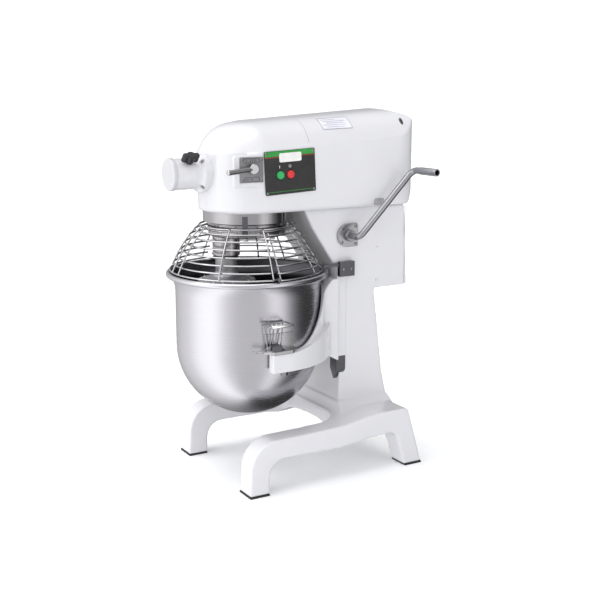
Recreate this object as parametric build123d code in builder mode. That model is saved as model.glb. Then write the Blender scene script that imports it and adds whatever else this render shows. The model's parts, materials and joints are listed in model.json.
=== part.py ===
from build123d import *
from math import atan2, cos, degrees, pi, radians, sin, sqrt, tan
import os

os.makedirs("parts", exist_ok=True)

# Twenty-litre planetary mixer. Origin: floor plane, centre of the four foot bolts.
# The front (hub, bowl, agitator) is on -Y, the operator's controls are on +X, +Z is up.

# --- driving dimensions, mm; every y below is counted back from the bowl axis ---
BOWL_Y = -133.0  # bowl axis, from the centre of the foot bolts

BASE_HALF = 180.5
LEG_INNER = 128.5
PAD_T = 4.0
FOOT_X = 155.0
FOOT_FRONT_Y = -69.0
FOOT_REAR_Y = 335.0
FOOT_BOLT_D = 9.0
PLINTH_TOP = 151.0

COL_HALF = 85.0
COL_FRONT = 190.0
COL_REAR = 285.0
WALL = 8.0
GUSSET_Z = 467.0
WAY_FRONT = 181.0

HEAD_BOTTOM = 598.0
HEAD_HALF = 107.0
HEAD_REAR = 398.0
CREASE_Z = 730.0  # height of the cover joint at the bowl axis
HEAD_SLOPE = 0.064
COVER_SEAM_Y = 98.0
COVER_RISE = 60.0

HUB_Z = 681.0
BOWL_R = 161.0
BOWL_WALL = 1.6
BOWL_BOTTOM = 137.0
RIM_Z = 457.0
RIM_ROLL = 6.0

AGITATOR_OFFSET = 52.0
GEAR_MODULE = 2.0
RING_TEETH = 78
PLANET_TEETH = 26

LIFT_MODULE = 2.5
LIFT_TEETH = 23
CRANK_Y = 210.0
CRANK_Z = 535.0

WIRE_R = 2.4
GUARD_RINGS = [(115, 555), (127, 542), (136.5, 526.5), (145, 511), (155, 496), (163, 481), (171.5, 467)]
GUARD_SPLIT = 83.0  # half angle of the swinging front half


def level(z, y=0.0):
    """Horizontal sketch plane whose origin is on the bowl axis, or y behind it."""
    return Plane(origin=(0, BOWL_Y + y, z))


def side(x=0.0):
    """Sketch plane seen from the right: (distance behind the bowl axis, height)."""
    return Plane(origin=(x, BOWL_Y, 0), x_dir=(0, 1, 0), z_dir=(1, 0, 0))


def across(y):
    """Sketch plane seen from the front: (x, height); it extrudes towards the front."""
    return Plane(origin=(0, BOWL_Y + y, 0), x_dir=(1, 0, 0), z_dir=(0, -1, 0))


def outline(*corners):
    """Closed outline in the sketch in progress; a corner is (x, y) or (x, y, radius)."""
    radii = [corner[2] if len(corner) == 3 else 0 for corner in corners]
    with BuildLine(mode=Mode.PRIVATE) as path:
        FilletPolyline(*[corner[:2] for corner in corners], radius=radii, close=True)
    make_face(path.edges())


def box_outline(x0, y0, x1, y1, radius=0.0):
    """Rectangle between two corners in the sketch in progress."""
    outline((x0, y0, radius), (x1, y0, radius), (x1, y1, radius), (x0, y1, radius))


def save(piece, name):
    """Label a finished piece and write its STEP file."""
    piece.part.label = name
    export_step(piece.part, f"parts/{name}.step")


def gear_outline(teeth, module, backlash=0.2, turn=0.0, addendum=0.9, dedendum=1.2):
    """Spur gear face in the sketch in progress, with a tooth centred on the angle turn."""
    pitch = teeth * module / 2
    tip = pitch + addendum * module
    root = pitch - dedendum * module
    half = (pi * module / 2 - backlash) / 2
    flare = tan(radians(20))
    root_half = half + flare * (pitch - root) * 0.85
    tip_half = half - flare * (tip - pitch) * 1.15
    Circle(root)
    with PolarLocations(0, teeth, start_angle=turn):
        Polygon((root - 0.4, root_half), (pitch, half), (tip, tip_half), (tip, -tip_half), (pitch, -half),
                (root - 0.4, -root_half), align=None)


# ---------------------------------------------------------------- base and feet
FEET = [(FOOT_X, FOOT_FRONT_Y), (-FOOT_X, FOOT_FRONT_Y), (FOOT_X, FOOT_REAR_Y), (-FOOT_X, FOOT_REAR_Y)]

with BuildPart() as plinth:
    with BuildSketch(across(345)):
        with BuildLine():
            Line((-172, 100), (-172, 126))
            ThreePointArc((-172, 126), (-113, 134), (-90, PLINTH_TOP))
            Line((-90, PLINTH_TOP), (90, PLINTH_TOP))
            ThreePointArc((90, PLINTH_TOP), (113, 134), (172, 126))
            Polyline((172, 126), (172, 100), (-172, 100))
        make_face()
    extrude(amount=215)
    with BuildSketch(side()):
        with BuildLine():
            Line((130, 90), (130, 118))
            ThreePointArc((130, 118), (172, 128), (COL_FRONT - 6, 160))
            Polyline((COL_FRONT - 6, 160), (321, 160), (324, 140), (318, 100), (130, 90))
        make_face()
    extrude(amount=BASE_HALF, both=True, mode=Mode.INTERSECT)

with BuildPart() as base:
    with BuildSketch(side()):
        outline((-92, PAD_T), (-86, 120, 65), (60, 122), (150, 125, 200), (240, 139, 200), (318, 138, 9),
                (358, PAD_T), (310, PAD_T), (285, 87, 25), (215, 84, 200), (150, 75, 200), (-43, 76, 36),
                (-45, PAD_T))
    extrude(amount=BASE_HALF, both=True)
    add(plinth.part)
    with BuildSketch(level(0)):
        outline((-LEG_INNER, -120), (-LEG_INNER, 165, 62), (LEG_INNER, 165, 62), (LEG_INNER, -120))
    extrude(amount=200, mode=Mode.SUBTRACT)
    with BuildSketch(across(370)):
        outline((-LEG_INNER, 0), (-LEG_INNER, 88, 50), (0, 99, 300), (LEG_INNER, 88, 50), (LEG_INNER, 0))
    extrude(amount=250, mode=Mode.SUBTRACT)
    with BuildSketch(level(PAD_T)):
        with Locations(*FEET):
            Circle(FOOT_BOLT_D / 2)
    extrude(amount=30, mode=Mode.SUBTRACT)
save(base, "base")

with BuildPart() as foot_pads:
    with BuildSketch(level(0)):
        with Locations(*FEET):
            Rectangle(52, 46)
            Circle(FOOT_BOLT_D / 2, mode=Mode.SUBTRACT)
    extrude(amount=PAD_T)
save(foot_pads, "foot_pads")

# ---------------------------------------------------------------- column
def way_outline():
    """Both slide ways seen from the front, pointed at the bottom."""
    for hand in (1, -1):
        outline((hand * 60, 226), (hand * 74, 203), (hand * 87, 226), (hand * 87, GUSSET_Z),
                (hand * 60, GUSSET_Z))


with BuildPart() as column:
    with BuildSketch(side()):
        outline((COL_FRONT, PLINTH_TOP), (COL_FRONT, GUSSET_Z), (177, GUSSET_Z), (118, 556),
                (97, HEAD_BOTTOM), (COL_REAR, HEAD_BOTTOM), (COL_REAR, 400), (309, 208), (322, PLINTH_TOP))
    extrude(amount=COL_HALF, both=True)
    with BuildSketch(side()):
        outline((COL_FRONT + WALL, PLINTH_TOP), (COL_FRONT + WALL, GUSSET_Z + WALL),
                (183, GUSSET_Z + WALL), (128, 558), (111, HEAD_BOTTOM), (COL_REAR - WALL, HEAD_BOTTOM),
                (COL_REAR - WALL, 400), (301, 206), (313, PLINTH_TOP))
    extrude(amount=COL_HALF - WALL, both=True, mode=Mode.SUBTRACT)
    # slot in the front wall for the lift bracket
    with BuildSketch(across(COL_FRONT + WALL + 1)):
        box_outline(-21, 325, 21, 445, 10)
    extrude(amount=20, mode=Mode.SUBTRACT)
    # rebates for the slide ways
    with BuildSketch(across(205)):
        way_outline()
    extrude(amount=30, mode=Mode.SUBTRACT)
    # crank shaft bushings through both walls
    with BuildSketch(side(-100)):
        with Locations((CRANK_Y, CRANK_Z)):
            Circle(14)
    extrude(amount=200, mode=Mode.SUBTRACT)
save(column, "column")

with BuildPart() as slide_ways:
    with BuildSketch(level(203)):
        outline((87, WAY_FRONT), (87, 205), (60, 205), (60, COL_FRONT), (70, COL_FRONT), (60, WAY_FRONT))
        mirror(about=Plane.YZ)
    extrude(amount=GUSSET_Z - 203)
    with BuildSketch(across(205)):
        way_outline()
    extrude(amount=30, mode=Mode.INTERSECT)
save(slide_ways, "slide_ways")

with BuildPart() as rear_box:
    with BuildSketch(side()):
        outline((COL_REAR, 407), (COL_REAR, 596), (366, 596, 4), (376, 407, 4))
    extrude(amount=COL_HALF, both=True)
    with BuildSketch(side()):
        outline((COL_REAR, 409), (COL_REAR, 594), (364, 594), (374, 409))
    extrude(amount=COL_HALF - 2, both=True, mode=Mode.SUBTRACT)
save(rear_box, "rear_box")

# ---------------------------------------------------------------- head casting and top covers
def crease_height(y):
    """Height of the joint between the head casting and its top covers."""
    return CREASE_Z + HEAD_SLOPE * y


def head_plan(inset=0.0):
    """Head seen from above: round nose about the bowl axis, rounded rear corners."""
    half = HEAD_HALF - inset
    rear = HEAD_REAR - inset
    outline((-half, 0), (-half, rear, 65 - inset), (half, rear, 65 - inset), (half, 0))
    Circle(half)


HEAD_FLOOR = 10.0
HEAD_CORNER = [(413, 704), (389, 634, 60), (368, HEAD_BOTTOM, 8)]  # rounded lower rear corner

with BuildPart() as head_cavity:
    with BuildSketch(level(HEAD_BOTTOM + HEAD_FLOOR)):
        head_plan(WALL)
    extrude(amount=180)
    with BuildSketch(side()):
        outline((-120, HEAD_BOTTOM), (-120, 800), (406, 800), (406, 704), (381, 633, 50),
                (366, HEAD_BOTTOM + HEAD_FLOOR), (360, HEAD_BOTTOM))
    extrude(amount=HEAD_HALF, both=True, mode=Mode.INTERSECT)

with BuildPart() as head_casting:
    with BuildSketch(level(HEAD_BOTTOM)):
        head_plan()
    extrude(amount=190)
    with BuildSketch(side()):
        outline((-120, HEAD_BOTTOM), (-120, crease_height(-120)), (440, crease_height(440)), *HEAD_CORNER)
    extrude(amount=HEAD_HALF + 5, both=True, mode=Mode.INTERSECT)
    fillet(head_casting.edges().filter_by(GeomType.CIRCLE).sort_by(Axis.Z)[0], radius=9)
    add(head_cavity.part, mode=Mode.SUBTRACT)
    # spindle bore in the floor, hub bore in the nose
    with BuildSketch(level(HEAD_BOTTOM - 1)):
        Circle(62)
    extrude(amount=HEAD_FLOOR + 2, mode=Mode.SUBTRACT)
    with BuildSketch(across(-60)):
        with Locations((0, HUB_Z)):
            Circle(28)
    extrude(amount=60, mode=Mode.SUBTRACT)
    # flat boss for the speed lever and recessed panel land on the right side
    with BuildSketch(side(HEAD_HALF - WALL)):
        outline((-86, 656, 5), (-86, 723, 5), (-15.5, 727), (-15.5, 656))
    extrude(amount=WALL + 0.5)
    # lever and wiring bores
    with BuildSketch(side(60)):
        with Locations((-44, 695)):
            Circle(6.2)
        with Locations((23, 679), (47.9, 680)):
            Circle(9.2)
    extrude(amount=60, mode=Mode.SUBTRACT)
save(head_casting, "head_casting")


def cover_section(drop=0.0):
    """Half round cover section, from one side of the head to the other."""
    half = HEAD_HALF - drop
    rise = COVER_RISE - drop
    with BuildLine(mode=Mode.PRIVATE) as path:
        Line((-half, 0), (half, 0))
        Spline((half, 0), (0.83 * half, 0.5 * rise), (0.5 * half, 0.9 * rise), (0, rise),
               (-0.5 * half, 0.9 * rise), (-0.83 * half, 0.5 * rise), (-half, 0),
               tangents=[(-0.5, 1), (-0.5, -1)])
    make_face(path.edges())


# the covers follow the joint, which climbs towards the rear
crease = Plane(origin=(0, BOWL_Y, CREASE_Z), x_dir=(1, 0, 0), z_dir=(0, -1, -HEAD_SLOPE))


def cover_blank(drop):
    """Whole barrel cover: a section run along the head, its nose half turned."""
    with BuildPart() as blank:
        with BuildSketch(crease):
            cover_section(drop)
        extrude(amount=-(HEAD_REAR - drop + 5))
        with BuildSketch(crease):
            cover_section(drop)
            with Locations((-150, 0)):
                Rectangle(300, 400, mode=Mode.SUBTRACT)
        revolve(axis=Axis(crease.origin, crease.y_dir), revolution_arc=360)
        with BuildSketch(level(650)):
            head_plan(drop)
        extrude(amount=200, mode=Mode.INTERSECT)
        with BuildSketch(side()):
            outline((-125, 640), (-125, 900), (313, 900), (318, 812 - drop, 48), (383 - drop, 796 - drop, 42),
                    (399 - drop, 757 - drop, 25), (400 - drop, 700), (300, 640))
        extrude(amount=HEAD_HALF + 5, both=True, mode=Mode.INTERSECT)
    return blank.part


cover_outside = cover_blank(0)
cover_inside = cover_blank(3)


def cover_piece(start, end):
    """Shell of the top cover between two distances behind the bowl axis."""
    with BuildPart() as shell:
        add(cover_outside)
        add(cover_inside, mode=Mode.SUBTRACT)
        with BuildSketch(side()):
            outline((start, crease_height(start)), (start, 900), (end, 900), (end, crease_height(end)))
        extrude(amount=HEAD_HALF + 5, both=True, mode=Mode.INTERSECT)
    return shell


front_top_cover = cover_piece(-130, COVER_SEAM_Y - 0.5)
save(front_top_cover, "front_top_cover")
rear_top_cover = cover_piece(COVER_SEAM_Y + 0.5, 440)
save(rear_top_cover, "rear_top_cover")

# ---------------------------------------------------------------- attachment hub on the nose
HUB_R = 33.0
HUB_FRONT = -176.0
HUB_BOLT_Y = -115.0
HUB_BOLT_R = 38.0
KNOB_Y = -148.0
KNOB_ANGLE = 48.0  # above the horizontal, on the operator's side
knob_out = (cos(radians(KNOB_ANGLE)), 0, sin(radians(KNOB_ANGLE)))


def knob_plane(distance):
    """Plane across the thumb screw, at a distance from the hub axis."""
    origin = (knob_out[0] * distance, BOWL_Y + KNOB_Y, HUB_Z + knob_out[2] * distance)
    return Plane(origin=origin, x_dir=(0, 1, 0), z_dir=knob_out)


with BuildPart() as hub_body:
    with BuildSketch(side()):
        with BuildLine():
            Polyline((-80, HUB_Z), (-80, HUB_Z + 41.5), (-116, HUB_Z + 41.5), (-118, HUB_Z + 40))
            ThreePointArc((-118, HUB_Z + 40), (-122, HUB_Z + 35.5), (-132, HUB_Z + HUB_R))
            Polyline((-132, HUB_Z + HUB_R), (HUB_FRONT, HUB_Z + HUB_R), (HUB_FRONT, HUB_Z), (-80, HUB_Z))
        make_face()
    revolve(axis=Axis((0, BOWL_Y, HUB_Z), (0, 1, 0)))
    with BuildSketch(across(-80)):
        with Locations((0, HUB_Z)):
            Circle(16)
    extrude(amount=110, mode=Mode.SUBTRACT)
    with BuildSketch(knob_plane(0)):
        Circle(4.05)
    extrude(amount=40, mode=Mode.SUBTRACT)
    with BuildSketch(level(600)):
        Circle(HEAD_HALF)
    extrude(amount=160, mode=Mode.SUBTRACT)
    with BuildSketch(across(-80)):
        with Locations((0, HUB_Z)):
            Circle(27.9)
            Circle(16, mode=Mode.SUBTRACT)
    extrude(amount=30)
    with BuildSketch(across(HUB_BOLT_Y)):
        with Locations((0, HUB_Z)):
            with PolarLocations(HUB_BOLT_R, 4, start_angle=45):
                Circle(4.4)
    extrude(amount=20, mode=Mode.SUBTRACT)
save(hub_body, "hub_body")

with BuildPart() as hub_cover:
    with BuildSketch(across(HUB_FRONT)):
        with Locations((0, HUB_Z)):
            Circle(HUB_R + 1.5)
    extrude(amount=10)
    fillet(hub_cover.faces().sort_by(Axis.Y)[0].edges(), radius=3)
save(hub_cover, "hub_cover")

with BuildPart() as hub_bolts:
    with BuildSketch(across(HUB_BOLT_Y)):
        with Locations((0, HUB_Z)):
            with PolarLocations(HUB_BOLT_R, 4, start_angle=45):
                Circle(3.4)
    extrude(amount=5)
save(hub_bolts, "hub_bolts")

with BuildPart() as hub_knob:
    with BuildSketch(knob_plane(24)):
        Circle(4)
    extrude(amount=13)
    with BuildSketch(knob_plane(36)):
        Circle(8)
    extrude(amount=5)
    with BuildSketch(knob_plane(41)):
        SlotOverall(38, 13)
        Circle(10)
    extrude(amount=17)
    fillet(hub_knob.faces().sort_by(Axis(hub_body.part.center(), knob_out))[-1].edges(), radius=3)
save(hub_knob, "hub_knob")

# ---------------------------------------------------------------- collar and planetary head
COLLAR_R = 97.0
COLLAR_Z = 575.0
ROTOR_BOTTOM = 543.0
HOUSING_BOTTOM = 500.0
SHAFT_R = 10.0
DRIVE_R = 12.0

with BuildPart() as collar_ring:
    with BuildSketch(level(COLLAR_Z)):
        Circle(COLLAR_R)
        Circle(91, mode=Mode.SUBTRACT)
    extrude(amount=HEAD_BOTTOM - COLLAR_Z)
save(collar_ring, "collar_ring")

with BuildPart() as ring_gear:
    with BuildSketch(level(579)):
        Circle(91)
        with BuildSketch(mode=Mode.PRIVATE) as spaces:
            gear_outline(RING_TEETH, GEAR_MODULE, backlash=-0.3, turn=-90, addendum=1.2, dedendum=0.85)
        add(spaces.sketch, mode=Mode.SUBTRACT)
    extrude(amount=14)
save(ring_gear, "ring_gear")

with BuildPart() as planetary_rotor:
    with BuildSketch(side()):
        outline((0, ROTOR_BOTTOM), (-85, ROTOR_BOTTOM, 3), (-89, 574, 3), (-20, 574), (-20, 577), (0, 577))
    revolve(axis=Axis((0, BOWL_Y, 0), (0, 0, 1)))
    with BuildSketch(level(HOUSING_BOTTOM, -AGITATOR_OFFSET)):
        Circle(30)
    extrude(amount=ROTOR_BOTTOM - HOUSING_BOTTOM)
    fillet(planetary_rotor.faces().sort_by(Axis.Z)[0].edges(), radius=2)
    with BuildSketch(level(HOUSING_BOTTOM, -AGITATOR_OFFSET)):
        Circle(SHAFT_R + 0.05)
    extrude(amount=90, mode=Mode.SUBTRACT)
    with BuildSketch(level(ROTOR_BOTTOM + 5)):
        Circle(DRIVE_R)
    extrude(amount=60, mode=Mode.SUBTRACT)
save(planetary_rotor, "planetary_rotor")

with BuildPart() as rotor_bolts:
    with BuildSketch(level(ROTOR_BOTTOM - 7)):
        with PolarLocations(66, 5, start_angle=-30, angular_range=240, endpoint=True):
            RegularPolygon(6, 6)
    extrude(amount=7)
save(rotor_bolts, "rotor_bolts")

with BuildPart() as vertical_shaft:
    with BuildSketch(level(ROTOR_BOTTOM + 5)):
        Circle(DRIVE_R)
    extrude(amount=122)
    chamfer(vertical_shaft.faces().sort_by(Axis.Z)[-1].edges(), length=1)
save(vertical_shaft, "vertical_shaft")

with BuildPart() as agitator_shaft:
    with BuildSketch(level(455, -AGITATOR_OFFSET)):
        Circle(SHAFT_R)
    extrude(amount=137)
save(agitator_shaft, "agitator_shaft")

with BuildPart() as planet_gear:
    with BuildSketch(level(579, -AGITATOR_OFFSET)):
        gear_outline(PLANET_TEETH, GEAR_MODULE, backlash=0.3, turn=-90, addendum=0.85)
        Circle(SHAFT_R, mode=Mode.SUBTRACT)
    extrude(amount=13)
save(planet_gear, "planet_gear")

with BuildPart() as shaft_seal:
    with BuildSketch(level(494.5, -AGITATOR_OFFSET)):
        Circle(26)
        Circle(SHAFT_R, mode=Mode.SUBTRACT)
    extrude(amount=5)
save(shaft_seal, "shaft_seal")

# ---------------------------------------------------------------- balloon whisk
WHISK_LOOPS = 8
WHISK_WIRE_R = 1.8

with BuildPart() as whisk_hub:
    with BuildSketch(side()):
        outline((-AGITATOR_OFFSET, 442), (-AGITATOR_OFFSET - 64, 442), (-AGITATOR_OFFSET - 64, 446, 2),
                (-AGITATOR_OFFSET - 30, 454, 10), (-AGITATOR_OFFSET - 24, 464, 8),
                (-AGITATOR_OFFSET - 24, 494), (-AGITATOR_OFFSET, 494))
    revolve(axis=Axis((0, BOWL_Y - AGITATOR_OFFSET, 0), (0, 0, 1)))
    with BuildSketch(level(455, -AGITATOR_OFFSET)):
        Circle(SHAFT_R)
    extrude(amount=60, mode=Mode.SUBTRACT)
save(whisk_hub, "whisk_hub")

with BuildPart() as whisk_wires:
    for loop in range(WHISK_LOOPS):
        bearing = radians(180 * loop / WHISK_LOOPS)
        plane = Plane(origin=(0, BOWL_Y - AGITATOR_OFFSET, 0), x_dir=(cos(bearing), sin(bearing), 0),
                      z_dir=(sin(bearing), -cos(bearing), 0))
        low = 142 + 4.2 * loop
        with BuildLine(plane) as wire_path:
            FilletPolyline((58, 442), (58, 432), (98, 325), (93, 235), (0, low), (-93, 235), (-98, 325),
                           (-58, 432), (-58, 442), radius=[24, 90, 60, 36, 60, 90, 24])
        with BuildSketch(Plane(origin=wire_path.line @ 0, z_dir=(0, 0, -1))):
            Circle(WHISK_WIRE_R)
        sweep(path=wire_path.line)
save(whisk_wires, "whisk_wires")

# ---------------------------------------------------------------- bowl
with BuildPart() as bowl:
    with BuildSketch(side()):
        with BuildLine():
            Line((0, BOWL_BOTTOM), (0, BOWL_BOTTOM + BOWL_WALL))
            CenterArc((0, BOWL_BOTTOM + BOWL_R), BOWL_R - BOWL_WALL, 270, 90)
            Polyline((BOWL_R - BOWL_WALL, BOWL_BOTTOM + BOWL_R), (BOWL_R - BOWL_WALL, 428), (171.5, 456),
                     (173, 455), (BOWL_R, 427), (BOWL_R, BOWL_BOTTOM + BOWL_R))
            CenterArc((0, BOWL_BOTTOM + BOWL_R), BOWL_R, 0, -90)
        make_face()
        with Locations((175, RIM_Z)):
            Circle(RIM_ROLL)
    revolve(axis=Axis((0, BOWL_Y, 0), (0, 0, 1)))
save(bowl, "bowl")

# ---------------------------------------------------------------- saddle that carries the bowl
ARM_IN = 164.5
ARM_OUT = 184.5
ARM_TOP = 311.0
ARM_LOW = 270.0
ARM_FRONT = -37.0
EAR_Y = -6.0
BACK_HALF = 98.0


def cradle_plan(outer, front):
    """Ring round the bowl with straight arms forward and a back plate at the slide."""
    Circle(outer)
    box_outline(-outer, front, outer, 0)
    box_outline(-BACK_HALF, 100, BACK_HALF, WAY_FRONT - 0.3)
    Circle(ARM_IN, mode=Mode.SUBTRACT)
    with BuildSketch(mode=Mode.PRIVATE) as gap:
        box_outline(-ARM_IN, -250, ARM_IN, 0)
        box_outline(-250, -250, 250, front)
    add(gap.sketch, mode=Mode.SUBTRACT)


with BuildPart() as cradle_band:
    with BuildSketch(level(300)):
        cradle_plan(ARM_IN + 8, 30)
    extrude(amount=160)
    with BuildSketch(side()):
        with BuildLine():
            Line((30, 300), (30, ARM_TOP))
            Spline((30, ARM_TOP), (79, 333), (109, 364), (142, 414), (166, 440),
                   tangents=[(1, 0.1), (1, 0.6)])
            Polyline((166, 440), (WAY_FRONT, 440), (WAY_FRONT, 300), (30, 300))
        make_face()
    extrude(amount=200, both=True, mode=Mode.INTERSECT)

with BuildPart() as saddle:
    with BuildSketch(level(240)):
        cradle_plan(ARM_OUT, ARM_FRONT)
    extrude(amount=130)
    with BuildSketch(side()):
        outline((ARM_FRONT - 5, ARM_LOW), (145, ARM_LOW, 30), (WAY_FRONT, 250), (WAY_FRONT, 352),
                (95, 325, 120), (30, ARM_TOP, 60), (ARM_FRONT - 5, ARM_TOP))
    extrude(amount=200, both=True, mode=Mode.INTERSECT)
    add(cradle_band.part)
    # dovetail tongue that runs between the two slide ways
    with BuildSketch(level(250)):
        outline((-59.2, WAY_FRONT - 0.5), (-69.2, COL_FRONT - 0.3), (69.2, COL_FRONT - 0.3),
                (59.2, WAY_FRONT - 0.5))
    extrude(amount=190)
    # room for the flare and rolled rim of the bowl
    with BuildSketch(level(424)):
        Circle(169.5)
    extrude(amount=50, mode=Mode.SUBTRACT)
    # ear pin holes
    with BuildSketch(level(ARM_LOW - 1)):
        with Locations((174.5, EAR_Y), (-174.5, EAR_Y)):
            Circle(5)
    extrude(amount=60, mode=Mode.SUBTRACT)
save(saddle, "saddle")

EAR_T = 6.0

with BuildPart() as bowl_ears:
    with BuildSketch(level(ARM_TOP)):
        for hand in (1, -1):
            outline((hand * 140, -50), (hand * 166, -50), (hand * 186, -32, 6), (hand * 186, 12, 6),
                    (hand * 166, 28), (hand * 140, 28))
        Circle(BOWL_R, mode=Mode.SUBTRACT)
        with Locations((174.5, EAR_Y), (-174.5, EAR_Y)):
            Circle(5, mode=Mode.SUBTRACT)
    extrude(amount=EAR_T)
    with BuildSketch(level(ARM_TOP + EAR_T)):
        for hand in (1, -1):
            outline((hand * 140, -44), (hand * 170, -44), (hand * 170, 24), (hand * 140, 24))
        Circle(BOWL_R + 3, mode=Mode.INTERSECT)
        Circle(BOWL_R, mode=Mode.SUBTRACT)
    extrude(amount=34)
save(bowl_ears, "bowl_ears")

with BuildPart() as bowl_pins:
    with BuildSketch(level(ARM_LOW - 8)):
        with Locations((174.5, EAR_Y), (-174.5, EAR_Y)):
            RegularPolygon(8, 6)
    extrude(amount=8)
    with BuildSketch(level(ARM_LOW)):
        with Locations((174.5, EAR_Y), (-174.5, EAR_Y)):
            Circle(5)
    extrude(amount=ARM_TOP + EAR_T + 1 - ARM_LOW)
save(bowl_pins, "bowl_pins")

# ---------------------------------------------------------------- lift rack, pinion and crank
rack_pitch_y = CRANK_Y + LIFT_MODULE * LIFT_TEETH / 2
RACK_BACK = 253.0
BRACKET_LOW = 385.0
BRACKET_TOP = 435.0
RACK_TOP = 592.0
tooth_step = pi * LIFT_MODULE

with BuildPart() as lift_bracket:
    with BuildSketch(side()):
        box_outline(COL_FRONT - 0.3, BRACKET_LOW, rack_pitch_y + 3.1, BRACKET_TOP)
    extrude(amount=16, both=True)
save(lift_bracket, "lift_bracket")

with BuildPart() as lift_rack:
    with BuildSketch(side()):
        box_outline(rack_pitch_y + 3.1, BRACKET_LOW, RACK_BACK, RACK_TOP)
        half = (tooth_step / 2 - 0.25) / 2
        for index in range(-10, 7):
            middle = CRANK_Z + (index + 0.5) * tooth_step
            outline((rack_pitch_y + 3.4, middle - half - 1.1), (rack_pitch_y, middle - half),
                    (rack_pitch_y - 2.2, middle - half + 0.85), (rack_pitch_y - 2.2, middle + half - 0.85),
                    (rack_pitch_y, middle + half), (rack_pitch_y + 3.4, middle + half + 1.1))
    extrude(amount=10, both=True)
save(lift_rack, "lift_rack")

with BuildPart() as lift_pinion:
    with BuildSketch(side(-10)):
        with Locations((CRANK_Y, CRANK_Z)):
            with BuildSketch(mode=Mode.PRIVATE) as pinion_face:
                gear_outline(LIFT_TEETH, LIFT_MODULE, backlash=0.3, turn=0)
            add(pinion_face.sketch)
            Circle(9, mode=Mode.SUBTRACT)
    extrude(amount=20)
save(lift_pinion, "lift_pinion")

with BuildPart() as crank_bushings:
    for wall_x in (COL_HALF - WALL, -COL_HALF):
        with BuildSketch(side(wall_x)):
            with Locations((CRANK_Y, CRANK_Z)):
                Circle(14)
                Circle(9.05, mode=Mode.SUBTRACT)
        extrude(amount=WALL)
save(crank_bushings, "crank_bushings")

PLATE_X = COL_HALF
with BuildPart() as crank_plate:
    with BuildSketch(side(PLATE_X)):
        box_outline(206, 509, 234, 561, 3)
        with Locations((207, CRANK_Z)):
            Circle(26)
        with Locations((CRANK_Y, CRANK_Z)):
            Circle(9.6, mode=Mode.SUBTRACT)
    extrude(amount=6)
    fillet(crank_plate.faces().sort_by(Axis.X)[-1].edges(), radius=1)
save(crank_plate, "crank_plate")

ARM_X = 133.0
CRANK_LEAN = 45.2  # of the arm above the horizontal, rearwards
CRANK_ARM = 201.5
ROD_R = 7.0

with BuildPart() as crank_shaft:
    with BuildSketch(side(-COL_HALF + 1)):
        with Locations((CRANK_Y, CRANK_Z)):
            Circle(9)
    extrude(amount=ARM_X - 14 + COL_HALF - 1)
    with BuildSketch(side(ARM_X - 14)):
        with Locations((CRANK_Y, CRANK_Z)):
            Rectangle(26, 26, rotation=CRANK_LEAN)
    extrude(amount=28)
    fillet(crank_shaft.faces().sort_by(Axis.X)[-1].edges(), radius=3)
save(crank_shaft, "crank_shaft")

arm_y = cos(radians(CRANK_LEAN))
arm_z = sin(radians(CRANK_LEAN))


def on_arm(distance, x=ARM_X):
    """Point on the crank arm at a distance from the crank axis."""
    return (x, BOWL_Y + CRANK_Y + arm_y * distance, CRANK_Z + arm_z * distance)


with BuildPart() as crank_handle:
    with BuildLine() as crank_path:
        FilletPolyline(on_arm(13), on_arm(CRANK_ARM), on_arm(CRANK_ARM, 222), radius=17)
    with BuildSketch(Plane(origin=crank_path.line @ 0, z_dir=crank_path.line % 0)):
        Circle(ROD_R)
    sweep(path=crank_path.line)
    with BuildSketch(Plane(origin=on_arm(CRANK_ARM, 222), z_dir=(-1, 0, 0))):
        Circle(ROD_R - 2)
    extrude(amount=60, mode=Mode.SUBTRACT)
save(crank_handle, "crank_handle")

# ---------------------------------------------------------------- bowl clamps
CLAMP_X = 172.0
CLAMP_Z = 322.0

with BuildPart() as clamp_bases:
    with BuildSketch(level(ARM_TOP + EAR_T)):
        box_outline(166, -38, 184, -14, 2)
        box_outline(-184, -38, -166, -14, 2)
    extrude(amount=12)
    with BuildSketch(across(-10)):
        with Locations((CLAMP_X, CLAMP_Z + 2), (-CLAMP_X, CLAMP_Z + 2)):
            Circle(2.6)
    extrude(amount=40, mode=Mode.SUBTRACT)
save(clamp_bases, "clamp_bases")


def clamp_handle(hand, name):
    """Hinged wire handle that locks the bowl down, for one side."""
    pivot_x = hand * CLAMP_X
    pivot_z = CLAMP_Z + 2
    top_z = CLAMP_Z + 54
    inner = hand * 166
    outer = hand * 204
    with BuildPart() as handle:
        with BuildLine() as loop:
            FilletPolyline((pivot_x, BOWL_Y - 40, pivot_z), (pivot_x, BOWL_Y - 44, pivot_z),
                           (inner, BOWL_Y - 54, top_z), (outer, BOWL_Y - 54, top_z),
                           (outer, BOWL_Y + 2, top_z), (inner, BOWL_Y + 2, top_z),
                           (pivot_x, BOWL_Y - 8, pivot_z), (pivot_x, BOWL_Y - 12, pivot_z),
                           radius=[3, 6, 6, 6, 6, 3])
        with BuildSketch(Plane(origin=loop.line @ 0, z_dir=loop.line % 0)):
            Circle(2.4)
        sweep(path=loop.line)
        with BuildSketch(across(-12)):
            with Locations((pivot_x, pivot_z)):
                Circle(2.4)
        extrude(amount=28)
    save(handle, name)


clamp_handle(1, "bowl_clamp_right")
clamp_handle(-1, "bowl_clamp_left")


# ---------------------------------------------------------------- wire bowl guard
def radial_plane(angle):
    """Upright plane through the bowl axis, at an angle from the front."""
    turn = radians(angle)
    return Plane(origin=(0, BOWL_Y, 0), x_dir=(sin(turn), -cos(turn), 0), z_dir=(-cos(turn), -sin(turn), 0))


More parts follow.
